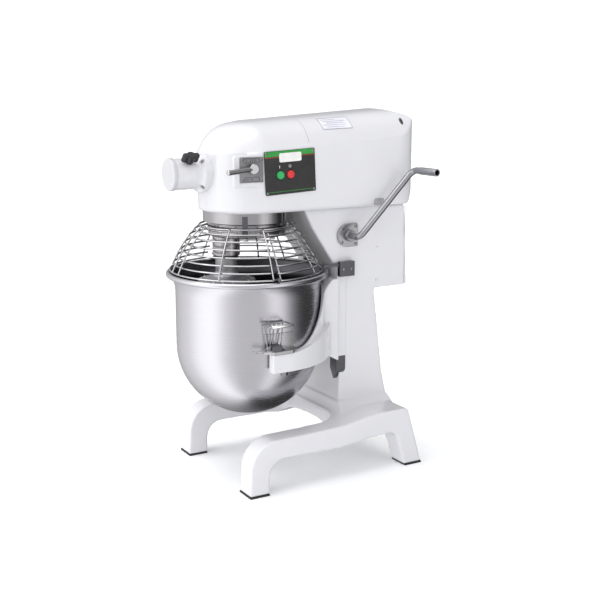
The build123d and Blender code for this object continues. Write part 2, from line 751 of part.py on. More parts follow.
def ring_of_wire(radius, z, start, arc):
    """Guard wire bent to a circle about the bowl axis; angles run from the front."""
    with BuildSketch(radial_plane(start), mode=Mode.PRIVATE) as section:
        with Locations((radius, z)):
            Circle(WIRE_R)
    revolve(section.sketch, axis=Axis((0, BOWL_Y, 0), (0, 0, 1)), revolution_arc=arc)


def sloped_wire(angle, top, middle, bottom):
    """Guard wire running down the cone in the radial plane at an angle from the front."""
    turn = radians(angle)

    def place(point):
        return (sin(turn) * point[0], BOWL_Y - cos(turn) * point[0], point[1])

    with BuildLine(mode=Mode.PRIVATE) as run:
        ThreePointArc(place(top), place(middle), place(bottom))
    with BuildSketch(Plane(origin=run.line @ 0, z_dir=run.line % 0), mode=Mode.PRIVATE) as section:
        Circle(WIRE_R - 0.2)
    sweep(section.sketch, path=run.line)


REAR_IN = 4.5
REAR_DOWN = 2.6

with BuildPart() as guard_front:
    ring_of_wire(105, 565, 0, 360)
    for radius, z in GUARD_RINGS:
        ring_of_wire(radius, z, -GUARD_SPLIT, 2 * GUARD_SPLIT)
    for angle in (-80.5, -42.5, -5, 5, 42.5, 80.5):
        sloped_wire(angle, (105, 567), (140, 528.6), (175, 469))
save(guard_front, "guard_front")

with BuildPart() as guard_rear:
    ring_of_wire(99.5, 560, 0, 360)
    for radius, z in GUARD_RINGS:
        ring_of_wire(radius - REAR_IN, z - REAR_DOWN, GUARD_SPLIT + 3, 354 - 2 * GUARD_SPLIT)
    for angle in (88, 127, 150, 210, 233, 272):
        sloped_wire(angle, (99.5, 560), (128.5, 521.8), (163.5, 462.3))
save(guard_rear, "guard_rear")

with BuildPart() as guard_hangers:
    for angle in (60, 168, 192, 300):
        with BuildSketch(radial_plane(angle)):
            box_outline(COLLAR_R, 563, 100.5, 592)
        extrude(amount=6, both=True)
        with BuildSketch(radial_plane(angle)):
            box_outline(102.2, 556, 106.5, 560)
            box_outline(97, 556, 102.3, 563.5)
            with Locations((99.5, 560)):
                Circle(WIRE_R + 0.3, mode=Mode.SUBTRACT)
        extrude(amount=6, both=True)
save(guard_hangers, "guard_hangers")

# bracket on the column that steadies the rear guard
with BuildPart() as guard_bracket:
    with BuildSketch(level(444)):
        outline((COL_HALF, 206), (COL_HALF, 222), (COL_HALF + 14, 222, 3), (COL_HALF + 14, 182, 3),
                (COL_HALF + 3, 182), (COL_HALF + 3, 206))
    extrude(amount=33)
    with BuildSketch(level(467.2)):
        outline((COL_HALF + 3.5, 184), (COL_HALF + 3.5, 141), (COL_HALF + 9, 141), (COL_HALF + 9, 184))
    extrude(amount=7)
save(guard_bracket, "guard_bracket")

with BuildPart() as body_screws:
    with BuildSketch(side(COL_HALF + 14)):
        with Locations((192, 460), (212, 460)):
            Circle(4)
    extrude(amount=3)
    with BuildSketch(side(COL_HALF)):
        with Locations((291, 425), (291, 578), (291, 500)):
            Circle(4)
    extrude(amount=2.5)
    with BuildSketch(side(-COL_HALF)):
        with Locations((291, 425), (291, 578), (291, 500)):
            Circle(4)
    extrude(amount=-2.5)
save(body_screws, "body_screws")

# ---------------------------------------------------------------- control panel
PANEL_LEAN = 2.7  # the panel follows the cover joint
PANEL_T = 2.0
panel = Plane(origin=(HEAD_HALF, BOWL_Y + 48.5, 685.3),
              x_dir=(0, cos(radians(PANEL_LEAN)), sin(radians(PANEL_LEAN))), z_dir=(1, 0, 0))
START_AT = (-25.8, -5.1)
STOP_AT = (-0.8, -5.3)
BUTTON_R = 8.6

with BuildPart() as control_panel:
    with BuildSketch(panel):
        box_outline(-61.5, -46, 61.5, 46, 3)
        with Locations(START_AT, STOP_AT):
            Circle(BUTTON_R + 0.4, mode=Mode.SUBTRACT)
    extrude(amount=PANEL_T)
save(control_panel, "control_panel")


def push_button(centre):
    """Domed button cap that slides through the panel, with its stem."""
    with BuildPart() as cap:
        with BuildSketch(panel.offset(-4)):
            with Locations(centre):
                Circle(BUTTON_R)
        extrude(amount=4 + PANEL_T + 4.5)
        fillet(cap.faces().sort_by(Axis.X)[-1].edges(), radius=1.5)
        with BuildSketch(panel.offset(-14)):
            with Locations(centre):
                Circle(3)
        extrude(amount=10)
    return cap


start_button = push_button(START_AT)
save(start_button, "start_button")
stop_button = push_button(STOP_AT)
save(stop_button, "stop_button")

with BuildPart() as switch_blocks:
    with BuildSketch(panel.offset(-28)):
        with Locations(START_AT, STOP_AT):
            Rectangle(21, 30)
            Circle(3.5, mode=Mode.SUBTRACT)
    extrude(amount=20)
save(switch_blocks, "switch_blocks")

# ---------------------------------------------------------------- speed lever
LEVER_Y = -44.0
LEVER_Z = 695.0
GEAR_PLATE_X = HEAD_HALF + 0.5

with BuildPart() as gear_plate:
    with BuildSketch(side(GEAR_PLATE_X)):
        box_outline(-72, 666, -17, 719, 2)
        with Locations((LEVER_Y, LEVER_Z)):
            Circle(6.6, mode=Mode.SUBTRACT)
    extrude(amount=1.5)
save(gear_plate, "gear_plate")

with BuildPart() as panel_screws:
    with BuildSketch(panel.offset(PANEL_T)):
        with GridLocations(114, 83, 2, 2):
            Circle(2.4)
    extrude(amount=1.2)
    with BuildSketch(side(GEAR_PLATE_X + 1.5)):
        with Locations((LEVER_Y - 0.5, 692.5)):
            with GridLocations(45, 43, 2, 2):
                Circle(2.6)
    extrude(amount=1.4)
    with BuildSketch(side(PLATE_X + 6)):
        with Locations((227, 515), (227, 555), (191, 520), (191, 550)):
            Circle(3)
    extrude(amount=2)
save(panel_screws, "panel_screws")

with BuildPart() as gear_lever:
    with BuildSketch(side(80)):
        with Locations((LEVER_Y, LEVER_Z)):
            Circle(6.15)
    extrude(amount=30)
    with BuildSketch(side(GEAR_PLATE_X + 2)):
        with Locations((LEVER_Y, LEVER_Z)):
            Circle(11)
    extrude(amount=13)
    fillet(gear_lever.faces().sort_by(Axis.X)[-1].edges(), radius=2)
    lever_start = (GEAR_PLATE_X + 8.5, BOWL_Y + LEVER_Y, LEVER_Z)
    lever_end = (GEAR_PLATE_X + 20, BOWL_Y - 110, 690)
    with BuildLine() as lever_line:
        Line(lever_start, lever_end)
    with BuildSketch(Plane(origin=lever_start, z_dir=lever_line.line % 0)):
        Circle(5.6)
    sweep(path=lever_line.line)
    fillet(gear_lever.faces().sort_by(Axis.Y)[0].edges(), radius=2)
save(gear_lever, "gear_lever")

# ---------------------------------------------------------------- power train inside the head
GEAR_CENTRES = 60.0
INPUT_Z = HUB_Z - 30.0
INPUT_X = -sqrt(GEAR_CENTRES ** 2 - (HUB_Z - INPUT_Z) ** 2)
MOTOR_X = 25.0
MOTOR_Z = 712.0
BELT_Y = 335.0
main_gear_teeth = 40
input_gear_teeth = 20


def shaft_along(x, z, radius, start, end):
    """Round shaft along the head, in the part in progress."""
    with BuildSketch(across(end), mode=Mode.PRIVATE) as section:
        with Locations((x, z)):
            Circle(radius)
    extrude(section.sketch, amount=end - start)


def bearing_block(x, z, y, bore):
    """Pillow block standing on the head floor, bored for a shaft."""
    with BuildPart() as block:
        with BuildSketch(across(y + 7)):
            outline((x - 18, HEAD_BOTTOM + HEAD_FLOOR), (x - 18, z + 18, 12), (x + 18, z + 18, 12),
                    (x + 18, HEAD_BOTTOM + HEAD_FLOOR))
            with Locations((x, z)):
                Circle(bore + 0.05, mode=Mode.SUBTRACT)
        extrude(amount=14)
    return block.part


with BuildPart() as main_shaft:
    shaft_along(0, HUB_Z, 10, -160, 190)
save(main_shaft, "main_shaft")

with BuildPart() as bevel_pinion:
    with BuildSketch(across(40)):
        with Locations((0, HUB_Z)):
            Circle(19)
    extrude(amount=16, taper=30)
    with BuildSketch(across(41)):
        with Locations((0, HUB_Z)):
            Circle(10)
    extrude(amount=20, mode=Mode.SUBTRACT)
save(bevel_pinion, "bevel_pinion")

with BuildPart() as bevel_gear:
    with BuildSketch(level(652)):
        Circle(38)
        Circle(DRIVE_R, mode=Mode.SUBTRACT)
    extrude(amount=9)
save(bevel_gear, "bevel_gear")

with BuildPart() as main_gear:
    with BuildSketch(across(160)):
        with Locations((0, HUB_Z)):
            with BuildSketch(mode=Mode.PRIVATE) as main_gear_face:
                gear_outline(main_gear_teeth, GEAR_MODULE, backlash=0.3, addendum=0.85)
            add(main_gear_face.sketch)
            Circle(10, mode=Mode.SUBTRACT)
    extrude(amount=14)
save(main_gear, "main_gear")

with BuildPart() as input_shaft:
    shaft_along(INPUT_X, INPUT_Z, 9, 120, 346)
save(input_shaft, "input_shaft")

mesh_angle = degrees(atan2(HUB_Z - INPUT_Z, -INPUT_X))
main_phase = ((mesh_angle + 180) % (360 / main_gear_teeth)) * main_gear_teeth / input_gear_teeth
with BuildPart() as input_gear:
    with BuildSketch(across(160)):
        with Locations((INPUT_X, INPUT_Z)):
            with BuildSketch(mode=Mode.PRIVATE) as input_gear_face:
                gear_outline(input_gear_teeth, GEAR_MODULE, backlash=0.3, addendum=0.85,
                             turn=mesh_angle + 180 / input_gear_teeth + main_phase)
            add(input_gear_face.sketch)
            Circle(9, mode=Mode.SUBTRACT)
    extrude(amount=14)
save(input_gear, "input_gear")

with BuildPart() as input_pulley:
    with BuildSketch(across(BELT_Y + 8)):
        with Locations((INPUT_X, INPUT_Z)):
            Circle(30)
            Circle(9, mode=Mode.SUBTRACT)
    extrude(amount=16)
save(input_pulley, "input_pulley")

with BuildPart() as motor_rotor:
    shaft_along(MOTOR_X, MOTOR_Z, 8, 194, BELT_Y + 10)
    shaft_along(MOTOR_X, MOTOR_Z, 20, BELT_Y - 8, BELT_Y + 8)
save(motor_rotor, "motor_rotor")

with BuildPart() as motor_body:
    with BuildSketch(across(300)):
        with Locations((MOTOR_X, MOTOR_Z)):
            Circle(54)
    extrude(amount=110)
    fillet(motor_body.edges().filter_by(GeomType.CIRCLE), radius=6)
    with BuildSketch(across(301)):
        with Locations((MOTOR_X, MOTOR_Z)):
            Circle(8.05)
    extrude(amount=150, mode=Mode.SUBTRACT)
save(motor_body, "motor_body")

with BuildPart() as motor_mount:
    with BuildSketch(across(290)):
        outline((MOTOR_X - 40, HEAD_BOTTOM + HEAD_FLOOR), (MOTOR_X - 40, 668), (MOTOR_X + 40, 668),
                (MOTOR_X + 40, HEAD_BOTTOM + HEAD_FLOOR))
        with Locations((MOTOR_X, MOTOR_Z)):
            Circle(54, mode=Mode.SUBTRACT)
    extrude(amount=80)
save(motor_mount, "motor_mount")

with BuildPart() as shaft_bearings:
    add(bearing_block(0, HUB_Z, 110, 10))
    add(bearing_block(0, HUB_Z, 182, 10))
    add(bearing_block(INPUT_X, INPUT_Z, 132, 9))
    add(bearing_block(INPUT_X, INPUT_Z, 308, 9))
    with BuildSketch(level(HEAD_BOTTOM)):
        Circle(62)
        Circle(DRIVE_R + 0.05, mode=Mode.SUBTRACT)
    extrude(amount=HEAD_FLOOR)
    with BuildSketch(level(HEAD_BOTTOM + HEAD_FLOOR)):
        Circle(30)
        Circle(DRIVE_R + 0.05, mode=Mode.SUBTRACT)
    extrude(amount=34)
save(shaft_bearings, "shaft_bearings")

with BuildPart() as drive_belt:
    with BuildSketch(across(BELT_Y + 5)):
        with BuildSketch(mode=Mode.PRIVATE) as belt_outer:
            with Locations((INPUT_X, INPUT_Z)):
                Circle(35)
            with Locations((MOTOR_X, MOTOR_Z)):
                Circle(25)
            make_hull()
        add(belt_outer.sketch)
        with BuildSketch(mode=Mode.PRIVATE) as belt_inner:
            with Locations((INPUT_X, INPUT_Z)):
                Circle(30.4)
            with Locations((MOTOR_X, MOTOR_Z)):
                Circle(20.4)
            make_hull()
        add(belt_inner.sketch, mode=Mode.SUBTRACT)
    extrude(amount=10)
save(drive_belt, "drive_belt")
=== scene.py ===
import json
from math import atan2, cos, pi, radians, sin, tan

import bmesh
import bpy
from mathutils import Matrix, Vector
from mathutils.bvhtree import BVHTree


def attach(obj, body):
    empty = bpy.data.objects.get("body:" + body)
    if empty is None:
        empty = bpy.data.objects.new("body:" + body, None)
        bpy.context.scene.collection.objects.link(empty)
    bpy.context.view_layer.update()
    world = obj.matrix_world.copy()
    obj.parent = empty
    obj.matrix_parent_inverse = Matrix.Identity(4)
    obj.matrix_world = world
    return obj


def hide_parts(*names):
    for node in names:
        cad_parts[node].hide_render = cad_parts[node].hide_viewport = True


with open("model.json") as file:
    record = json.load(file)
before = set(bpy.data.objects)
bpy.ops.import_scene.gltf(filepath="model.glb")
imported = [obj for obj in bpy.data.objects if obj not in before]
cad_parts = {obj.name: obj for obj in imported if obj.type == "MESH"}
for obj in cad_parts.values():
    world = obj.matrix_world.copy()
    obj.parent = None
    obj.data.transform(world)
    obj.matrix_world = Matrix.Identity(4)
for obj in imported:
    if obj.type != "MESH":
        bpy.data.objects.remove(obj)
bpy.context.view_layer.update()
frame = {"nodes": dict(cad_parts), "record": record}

scene = bpy.context.scene
nodes = frame["nodes"]
BOWL_Y = -0.133  # bowl axis, in the row frame
BOX_SIDE = 0.085  # half the rear box's width


# ---------------------------------------------------------------- camera, floor and light
def make_camera():
    """Camera at the operator's side, a little above the bowl."""
    data = bpy.data.cameras.new("camera")
    data.lens = 62.97
    data.sensor_width = 36.0
    data.clip_end = 50.0
    camera = bpy.data.objects.new("camera", data)
    camera.location = (2.0444, -1.2013, 0.8729)
    camera.rotation_euler = (radians(90 - 11.77), 0, radians(59.5))
    scene.collection.objects.link(camera)
    scene.camera = camera


def area_light(name, location, target, size, power):
    """Soft square light aimed at a point."""
    data = bpy.data.lights.new(name, "AREA")
    data.shape = "RECTANGLE"
    data.size, data.size_y = size
    data.energy = power
    light = bpy.data.objects.new(name, data)
    light.location = location
    direction = Vector(target) - Vector(location)
    light.rotation_euler = direction.to_track_quat("-Z", "Y").to_euler()
    scene.collection.objects.link(light)


def sun_light(name, location, target, strength, angle):
    """Broad, even light from far away, with soft shadows."""
    data = bpy.data.lights.new(name, "SUN")
    data.energy = strength
    data.angle = radians(angle)
    light = bpy.data.objects.new(name, data)
    direction = Vector(target) - Vector(location)
    light.rotation_euler = direction.to_track_quat("-Z", "Y").to_euler()
    scene.collection.objects.link(light)


def ramp_node(tree, stops):
    """Grey colour ramp through (position, value) stops."""
    ramp = tree.nodes.new("ShaderNodeValToRGB")
    elements = ramp.color_ramp.elements
    elements[0].position = stops[0][0]
    elements[1].position = stops[-1][0]
    for position, _ in stops[1:-1]:
        elements.new(position)
    for element, (_, value) in zip(elements, stops):
        element.color = (value, value, value * 1.01, 1)
    return ramp


def make_world():
    """White backdrop; as a light it has soft boxes and dark gaps round the horizon, so metal has contrast."""
    world = bpy.data.worlds.new("studio")
    scene.world = world
    world.use_nodes = True
    tree = world.node_tree
    background = tree.nodes["Background"]
    direction = tree.nodes.new("ShaderNodeTexCoord")
    parts = tree.nodes.new("ShaderNodeSeparateXYZ")
    tree.links.new(direction.outputs["Generated"], parts.inputs["Vector"])
    bearing = tree.nodes.new("ShaderNodeMath")
    bearing.operation = "ARCTAN2"
    tree.links.new(parts.outputs["Y"], bearing.inputs[0])
    tree.links.new(parts.outputs["X"], bearing.inputs[1])
    span = tree.nodes.new("ShaderNodeMapRange")
    span.inputs["From Min"].default_value = -pi
    span.inputs["From Max"].default_value = pi
    tree.links.new(bearing.outputs["Value"], span.inputs["Value"])
    # bearings in degrees from +X towards +Y, with the light's strength there
    horizon = [(-180, 0.6), (-160, 0.9), (-135, 1.1), (-112, 1.6), (-82, 1.75), (-62, 1.1), (-44, 0.8),
               (0, 0.8), (14, 1.35), (28, 1.15), (44, 0.35), (62, 0.05), (140, 0.05), (165, 0.4), (180, 0.6)]
    around = ramp_node(tree, [((degrees + 180) / 360, value) for degrees, value in horizon])
    tree.links.new(span.outputs["Result"], around.inputs["Fac"])
    above = tree.nodes.new("ShaderNodeMapRange")
    above.inputs["From Min"].default_value = 0.5
    above.inputs["From Max"].default_value = 0.9
    tree.links.new(parts.outputs["Z"], above.inputs["Value"])
    dome = tree.nodes.new("ShaderNodeMix")
    dome.data_type = "RGBA"
    dome.inputs["B"].default_value = (0.62, 0.62, 0.625, 1)
    tree.links.new(above.outputs["Result"], dome.inputs["Factor"])
    tree.links.new(around.outputs["Color"], dome.inputs["A"])
    seen = tree.nodes.new("ShaderNodeLightPath")
    mix = tree.nodes.new("ShaderNodeMix")
    mix.data_type = "RGBA"
    mix.inputs["B"].default_value = (1.0, 1.0, 1.0, 1)
    tree.links.new(seen.outputs["Is Camera Ray"], mix.inputs["Factor"])
    tree.links.new(dome.outputs["Result"], mix.inputs["A"])
    tree.links.new(mix.outputs["Result"], background.inputs["Color"])
    background.inputs["Strength"].default_value = 1.13


def make_studio():
    """White backdrop, pale floor and soft boxes."""
    scene.view_settings.view_transform = "Standard"
    make_world()
    sun_light("overhead", (-0.3, -0.7, 3.2), (0, 0, 0), 1.7, 60)
    area_light("key", (-0.3, -2.7, 1.1), (0, 0, 0.4), (0.4, 1.5), 2.5)
    bpy.ops.mesh.primitive_grid_add(x_subdivisions=8, y_subdivisions=8, size=60)
    floor = bpy.context.object
    floor.name = "floor"
    floor.data.materials.append(floor_material())
    floor.visible_glossy = False


# ---------------------------------------------------------------- material building blocks
def new_material(name, colour, roughness, metallic=0.0):
    """Principled material with its uniform values on the shader's own sockets."""
    material = bpy.data.materials.new(name)
    material.use_nodes = True
    shader = material.node_tree.nodes["Principled BSDF"]
    shader.inputs["Base Color"].default_value = (*colour, 1)
    shader.inputs["Roughness"].default_value = roughness
    shader.inputs["Metallic"].default_value = metallic
    return material, material.node_tree, shader


def add_node(tree, kind, **settings):
    """Shader node with attributes and, by socket name, input values."""
    node = tree.nodes.new(kind)
    for key, value in settings.items():
        if hasattr(node, key):
            setattr(node, key, value)
        else:
            node.inputs[key.replace("_", " ")].default_value = value
    return node


def object_coordinates(tree, scale=(1, 1, 1)):
    """Object coordinates, stretched by a scale."""
    coordinates = add_node(tree, "ShaderNodeTexCoord")
    mapping = add_node(tree, "ShaderNodeMapping")
    mapping.inputs["Scale"].default_value = scale
    tree.links.new(coordinates.outputs["Object"], mapping.inputs["Vector"])
    return mapping.outputs["Vector"]


def noise(tree, vector, scale, detail=4.0, roughness=0.5):
    """Grey noise over a vector, around 0.5."""
    node = add_node(tree, "ShaderNodeTexNoise")
    node.inputs["Scale"].default_value = scale
    node.inputs["Detail"].default_value = detail
    node.inputs["Roughness"].default_value = roughness
    tree.links.new(vector, node.inputs["Vector"])
    return node.outputs["Fac"]


def spread(tree, value, low, high):
    """Maps a noise value, mostly 0.3 to 0.7, onto the span low to high."""
    node = add_node(tree, "ShaderNodeMapRange")
    node.inputs["From Min"].default_value = 0.3
    node.inputs["From Max"].default_value = 0.7
    node.inputs["To Min"].default_value = low
    node.inputs["To Max"].default_value = high
    tree.links.new(value, node.inputs["Value"])
    return node.outputs["Result"]


def two_tone(tree, value, dark, light, low=0.35, high=0.65):
    """Colour between two tones, chosen by a noise value."""
    ramp = add_node(tree, "ShaderNodeValToRGB")
    ramp.color_ramp.elements[0].position = low
    ramp.color_ramp.elements[0].color = (*dark, 1)
    ramp.color_ramp.elements[1].position = high
    ramp.color_ramp.elements[1].color = (*light, 1)
    tree.links.new(value, ramp.inputs["Fac"])
    return ramp.outputs["Color"]


def bump(tree, shader, height, strength, distance):
    """Tips the shader's normal by a grey height."""
    node = add_node(tree, "ShaderNodeBump")
    node.inputs["Strength"].default_value = strength
    node.inputs["Distance"].default_value = distance
    tree.links.new(height, node.inputs["Height"])
    tree.links.new(node.outputs["Normal"], shader.inputs["Normal"])


# ---------------------------------------------------------------- materials
def floor_material():
    """Pale floor with a little light of its own, so it stays near the backdrop's white."""
    material, tree, shader = new_material("studio_floor", (0.93, 0.935, 0.945), 0.6)
    shader.inputs["Emission Color"].default_value = (1, 1, 1, 1)
    shader.inputs["Emission Strength"].default_value = 0.12
    grain = noise(tree, object_coordinates(tree), 3.0)
    tint = two_tone(tree, grain, (0.925, 0.93, 0.94), (0.935, 0.94, 0.95))
    tree.links.new(tint, shader.inputs["Base Color"])
    return material


def enamel_material(name="white_enamel", low_tip=None, tone=1.0):
    """Thick glossy white enamel with a faint orange peel; bare dark metal below low_tip; tone darkens it,
    which gives painted shade.
    """
    material, tree, shader = new_material(name, (0.70 * tone, 0.70 * tone, 0.73 * tone), 0.24)
    shader.inputs["Coat Weight"].default_value = 0.4
    shader.inputs["Coat Roughness"].default_value = 0.1
    vector = object_coordinates(tree)
    cloud = noise(tree, vector, 7.0, 3.0)
    colour = two_tone(tree, cloud, tuple(value * tone for value in (0.69, 0.69, 0.72)),
                      tuple(value * tone for value in (0.705, 0.705, 0.735)))
    rough = spread(tree, noise(tree, vector, 30.0, 2.0), 0.235, 0.265)
    bump(tree, shader, noise(tree, vector, 420.0, 2.0), 0.05, 0.0003)
    if low_tip:
        parts = add_node(tree, "ShaderNodeSeparateXYZ")
        tree.links.new(vector, parts.inputs["Vector"])
        bare = add_node(tree, "ShaderNodeMapRange")
        bare.inputs["From Min"].default_value = low_tip + 0.0006
        bare.inputs["From Max"].default_value = low_tip - 0.0006
        tree.links.new(parts.outputs["Z"], bare.inputs["Value"])
        mix = add_node(tree, "ShaderNodeMix", data_type="RGBA")
        tree.links.new(bare.outputs["Result"], mix.inputs["Factor"])
        tree.links.new(colour, mix.inputs["A"])
        mix.inputs["B"].default_value = (0.05, 0.05, 0.058, 1)
        colour = mix.outputs["Result"]
    tree.links.new(colour, shader.inputs["Base Color"])
    tree.links.new(rough, shader.inputs["Roughness"])
    return material


def brushed_material(name, colour, roughness, stretch, strength=0.25, spreading=0.05, cloudiness=0.08):
    """Brushed steel: fine scratches drawn out along one direction."""
    material, tree, shader = new_material(name, colour, roughness, 1.0)
    lines = noise(tree, object_coordinates(tree, stretch), 1.0, 6.0, 0.7)
    cloud = noise(tree, object_coordinates(tree), 14.0, 3.0)
    light = tuple(min(1.0, value * (1 + cloudiness / 2)) for value in colour)
    dark = tuple(value * (1 - cloudiness / 2) for value in colour)
    tree.links.new(two_tone(tree, cloud, dark, light), shader.inputs["Base Color"])
    tree.links.new(spread(tree, lines, roughness - spreading, roughness + spreading),
                   shader.inputs["Roughness"])
    bump(tree, shader, lines, strength, 0.0003)
    return material


def spun_material(name, colour, roughness, turns=1500, anisotropy=0.55, painted_shade=None):
    """Steel spun on a lathe, with rings about a vertical axis.

    The last argument is painted shade: (foot height, height where the painted shade ends, colour factor at
    the foot); it darkens the colour towards the foot.
    """
    material, tree, shader = new_material(name, colour, roughness, 1.0)
    shader.inputs["Anisotropic"].default_value = anisotropy
    tangent = add_node(tree, "ShaderNodeTangent", direction_type="RADIAL", axis="Z")
    tree.links.new(tangent.outputs["Tangent"], shader.inputs["Tangent"])
    rings = noise(tree, object_coordinates(tree, (6, 6, turns)), 1.0, 4.0, 0.6)
    tint = two_tone(tree, rings, tuple(v * 0.975 for v in colour), tuple(min(1, v * 1.025) for v in colour))
    # painted shade: the colour is darkened towards the foot by height
    if painted_shade:
        parts = add_node(tree, "ShaderNodeSeparateXYZ")
        tree.links.new(object_coordinates(tree), parts.inputs["Vector"])
        rise = add_node(tree, "ShaderNodeMapRange", interpolation_type="SMOOTHSTEP")
        for socket, value in zip(("From Min", "From Max", "To Min"), painted_shade):
            rise.inputs[socket].default_value = value
        tree.links.new(parts.outputs["Z"], rise.inputs["Value"])
        darken = add_node(tree, "ShaderNodeMix", data_type="RGBA", blend_type="MULTIPLY")
        darken.inputs["Factor"].default_value = 1.0
        tree.links.new(tint, darken.inputs["A"])
        tree.links.new(rise.outputs["Result"], darken.inputs["B"])
        tint = darken.outputs["Result"]
    tree.links.new(tint, shader.inputs["Base Color"])
    tree.links.new(spread(tree, rings, roughness - 0.02, roughness + 0.02), shader.inputs["Roughness"])
    bump(tree, shader, rings, 0.015, 0.0002)
    return material


def plastic_material(name, colour, roughness, grain=700.0, strength=0.15):
    """Moulded plastic or rubber with a fine grain."""
    material, tree, shader = new_material(name, colour, roughness)
    vector = object_coordinates(tree)
    light = tuple(value * 1.15 + 0.002 for value in colour)
    tree.links.new(two_tone(tree, noise(tree, vector, 40.0), colour, light), shader.inputs["Base Color"])
    tree.links.new(spread(tree, noise(tree, vector, 90.0), roughness - 0.05, roughness + 0.08),
                   shader.inputs["Roughness"])
    bump(tree, shader, noise(tree, vector, grain, 2.0), strength, 0.0004)
    return material


def make_materials():
    """Every material of the mixer, by slot name or by a detailed name that NODE_FINISH or a built piece uses.
    """
    return {
        "white_paint": enamel_material(),
        "way_paint": enamel_material("way_paint", 0.258),
        # darker copy of the white enamel for the hub cap: painted shade
        "cap_painted_shade": enamel_material("cap_painted_shade", None, 0.8),
        "black_rubber": plastic_material("black_rubber", (0.012, 0.012, 0.013), 0.7),
        "black_plastic": plastic_material("black_plastic", (0.014, 0.014, 0.016), 0.34),
        "stainless": brushed_material("brushed_stainless", (0.42, 0.41, 0.42), 0.26, (40, 40, 1400)),
        # the bowl's steel gets painted shade, darker towards its foot
        "bowl_steel": spun_material("bowl_steel", (0.53, 0.52, 0.55), 0.27, 1500, 0.1, (0.13, 0.21, 0.85)),
        # darker copy of the bowl's steel for its inside: painted shade
        "bowl_inside_painted_shade": spun_material("bowl_inside_painted_shade", (0.10, 0.098, 0.105), 0.32),
        "turned_steel": spun_material("turned_steel", (0.34, 0.33, 0.34), 0.13, 900, 0.0),
        # brighter copy of the chrome for the clamps' thick bars: painted highlight
        "chrome_painted_highlight": brushed_material("chrome_painted_highlight", (0.85, 0.85, 0.86), 0.16, (300, 300, 300), 0.05,
                                          0.03),
        "dark_zinc": brushed_material("dark_zinc", (0.13, 0.13, 0.14), 0.35, (400, 400, 400), 0.15),
        "chrome": brushed_material("chrome_plate", (0.5, 0.49, 0.5), 0.13, (300, 300, 300), 0.06, 0.03),
        "zinc_steel": brushed_material("zinc_steel", (0.34, 0.34, 0.36), 0.3, (500, 500, 500), 0.1),
        "plate_steel": brushed_material("plate_steel", (0.26, 0.26, 0.27), 0.34, (60, 900, 60), 0.15, 0.08,
                                        0.35),
        "seam_grey": plastic_material("seam_grey", (0.36, 0.36, 0.38), 0.5, 900.0, 0.03),
        "label_white": plastic_material("label_white", (0.70, 0.70, 0.76), 0.4, 900.0, 0.03),
        "label_print": plastic_material("label_print", (0.36, 0.36, 0.44), 0.4, 900.0, 0.03),
        "gear_steel": brushed_material("gear_steel", (0.3, 0.3, 0.32), 0.35, (700, 100, 700), 0.15),
        "aluminium": brushed_material("cast_aluminium", (0.5, 0.5, 0.52), 0.5, (250, 250, 250), 0.3),
        "bronze": brushed_material("bronze", (0.55, 0.38, 0.16), 0.35, (500, 500, 500), 0.1),
        "panel_black": plastic_material("panel_black", (0.009, 0.008, 0.008), 0.3, 900.0, 0.03),
        "green_plastic": plastic_material("green_plastic", (0.02, 0.36, 0.09), 0.3, 900.0, 0.05),
        "red_plastic": plastic_material("red_plastic", (0.6, 0.02, 0.02), 0.3, 900.0, 0.05),
        "green_print": plastic_material("green_print", (0.018, 0.27, 0.035), 0.35, 900.0, 0.03),
        "red_print": plastic_material("red_print", (0.42, 0.03, 0.008), 0.35, 900.0, 0.03),
        "white_print": plastic_material("white_print", (0.78, 0.78, 0.76), 0.35, 900.0, 0.03),
        "ink": plastic_material("ink", (0.05, 0.045, 0.045), 0.5, 900.0, 0.03),
    }


# the hub cover's finish is the darker enamel copy, which is painted shade
NODE_FINISH = {"slide_ways": "way_paint", "collar_ring": "turned_steel", "planetary_rotor": "turned_steel",
               "whisk_hub": "aluminium", "hub_cover": "cap_painted_shade", "gear_plate": "plate_steel",
               "clamp_bases": "dark_zinc", "guard_bracket": "dark_zinc", "guard_hangers": "dark_zinc"}


def paint_nodes(materials):
    """Gives every carried-over CAD node its detailed material."""
    for part in frame["record"]["subparts"]:
        data = nodes[part["node"]].data
        data.materials.clear()
        finish = NODE_FINISH.get(part["node"], part["material_slot"])
        data.materials.append(materials[finish])


# ---------------------------------------------------------------- mesh building blocks
def finish_mesh(name, shape, material, body, *replaced, second=None, sharp=None):
    """Links a bmesh as a smooth piece, paints it, and hangs it on its CAD body."""
    data = bpy.data.meshes.new(name)
    bmesh.ops.recalc_face_normals(shape, faces=shape.faces)
    shape.to_mesh(data)
    shape.free()
    data.shade_smooth()
    if sharp:
        data.set_sharp_from_angle(angle=radians(sharp))
    piece = bpy.data.objects.new(name, data)
    scene.collection.objects.link(piece)
    data.materials.append(materials[material])
    if second:
        data.materials.append(materials[second])
    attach(piece, body)
    if replaced:
        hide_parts(*replaced)
    return piece


def tube(shape, points, radius, closed=False, sides=10):
    """Adds a round wire along points to a bmesh."""
    points = [Vector(point) for point in points]
    count = len(points)
    rings = []
    side = None
    for index, point in enumerate(points):
        ahead = points[(index + 1) % count] if closed or index < count - 1 else point
        behind = points[index - 1] if closed or index > 0 else point
        run = (ahead - behind).normalized()
        if side is None:
            side = run.orthogonal().normalized()
        side = (side - run * side.dot(run)).normalized()
        up = run.cross(side)
        rings.append([shape.verts.new(point + radius * (side * cos(a) + up * sin(a)))
                      for a in (2 * pi * step / sides for step in range(sides))])
    pairs = list(zip(rings, rings[1:]))
    if closed:
        offset = min(range(sides), key=lambda k: (rings[0][k].co - rings[-1][0].co).length)
        pairs.append((rings[-1], rings[0][offset:] + rings[0][:offset]))
    for one, two in pairs:
        for step in range(sides):
            shape.faces.new((one[step], one[(step + 1) % sides], two[(step + 1) % sides], two[step]))
    if not closed:
        for ring in (rings[0], rings[-1]):
            centre = sum((vert.co for vert in ring), Vector()) / sides
            middle = shape.verts.new(centre)
            for step in range(sides):
                shape.faces.new((ring[step], ring[(step + 1) % sides], middle))


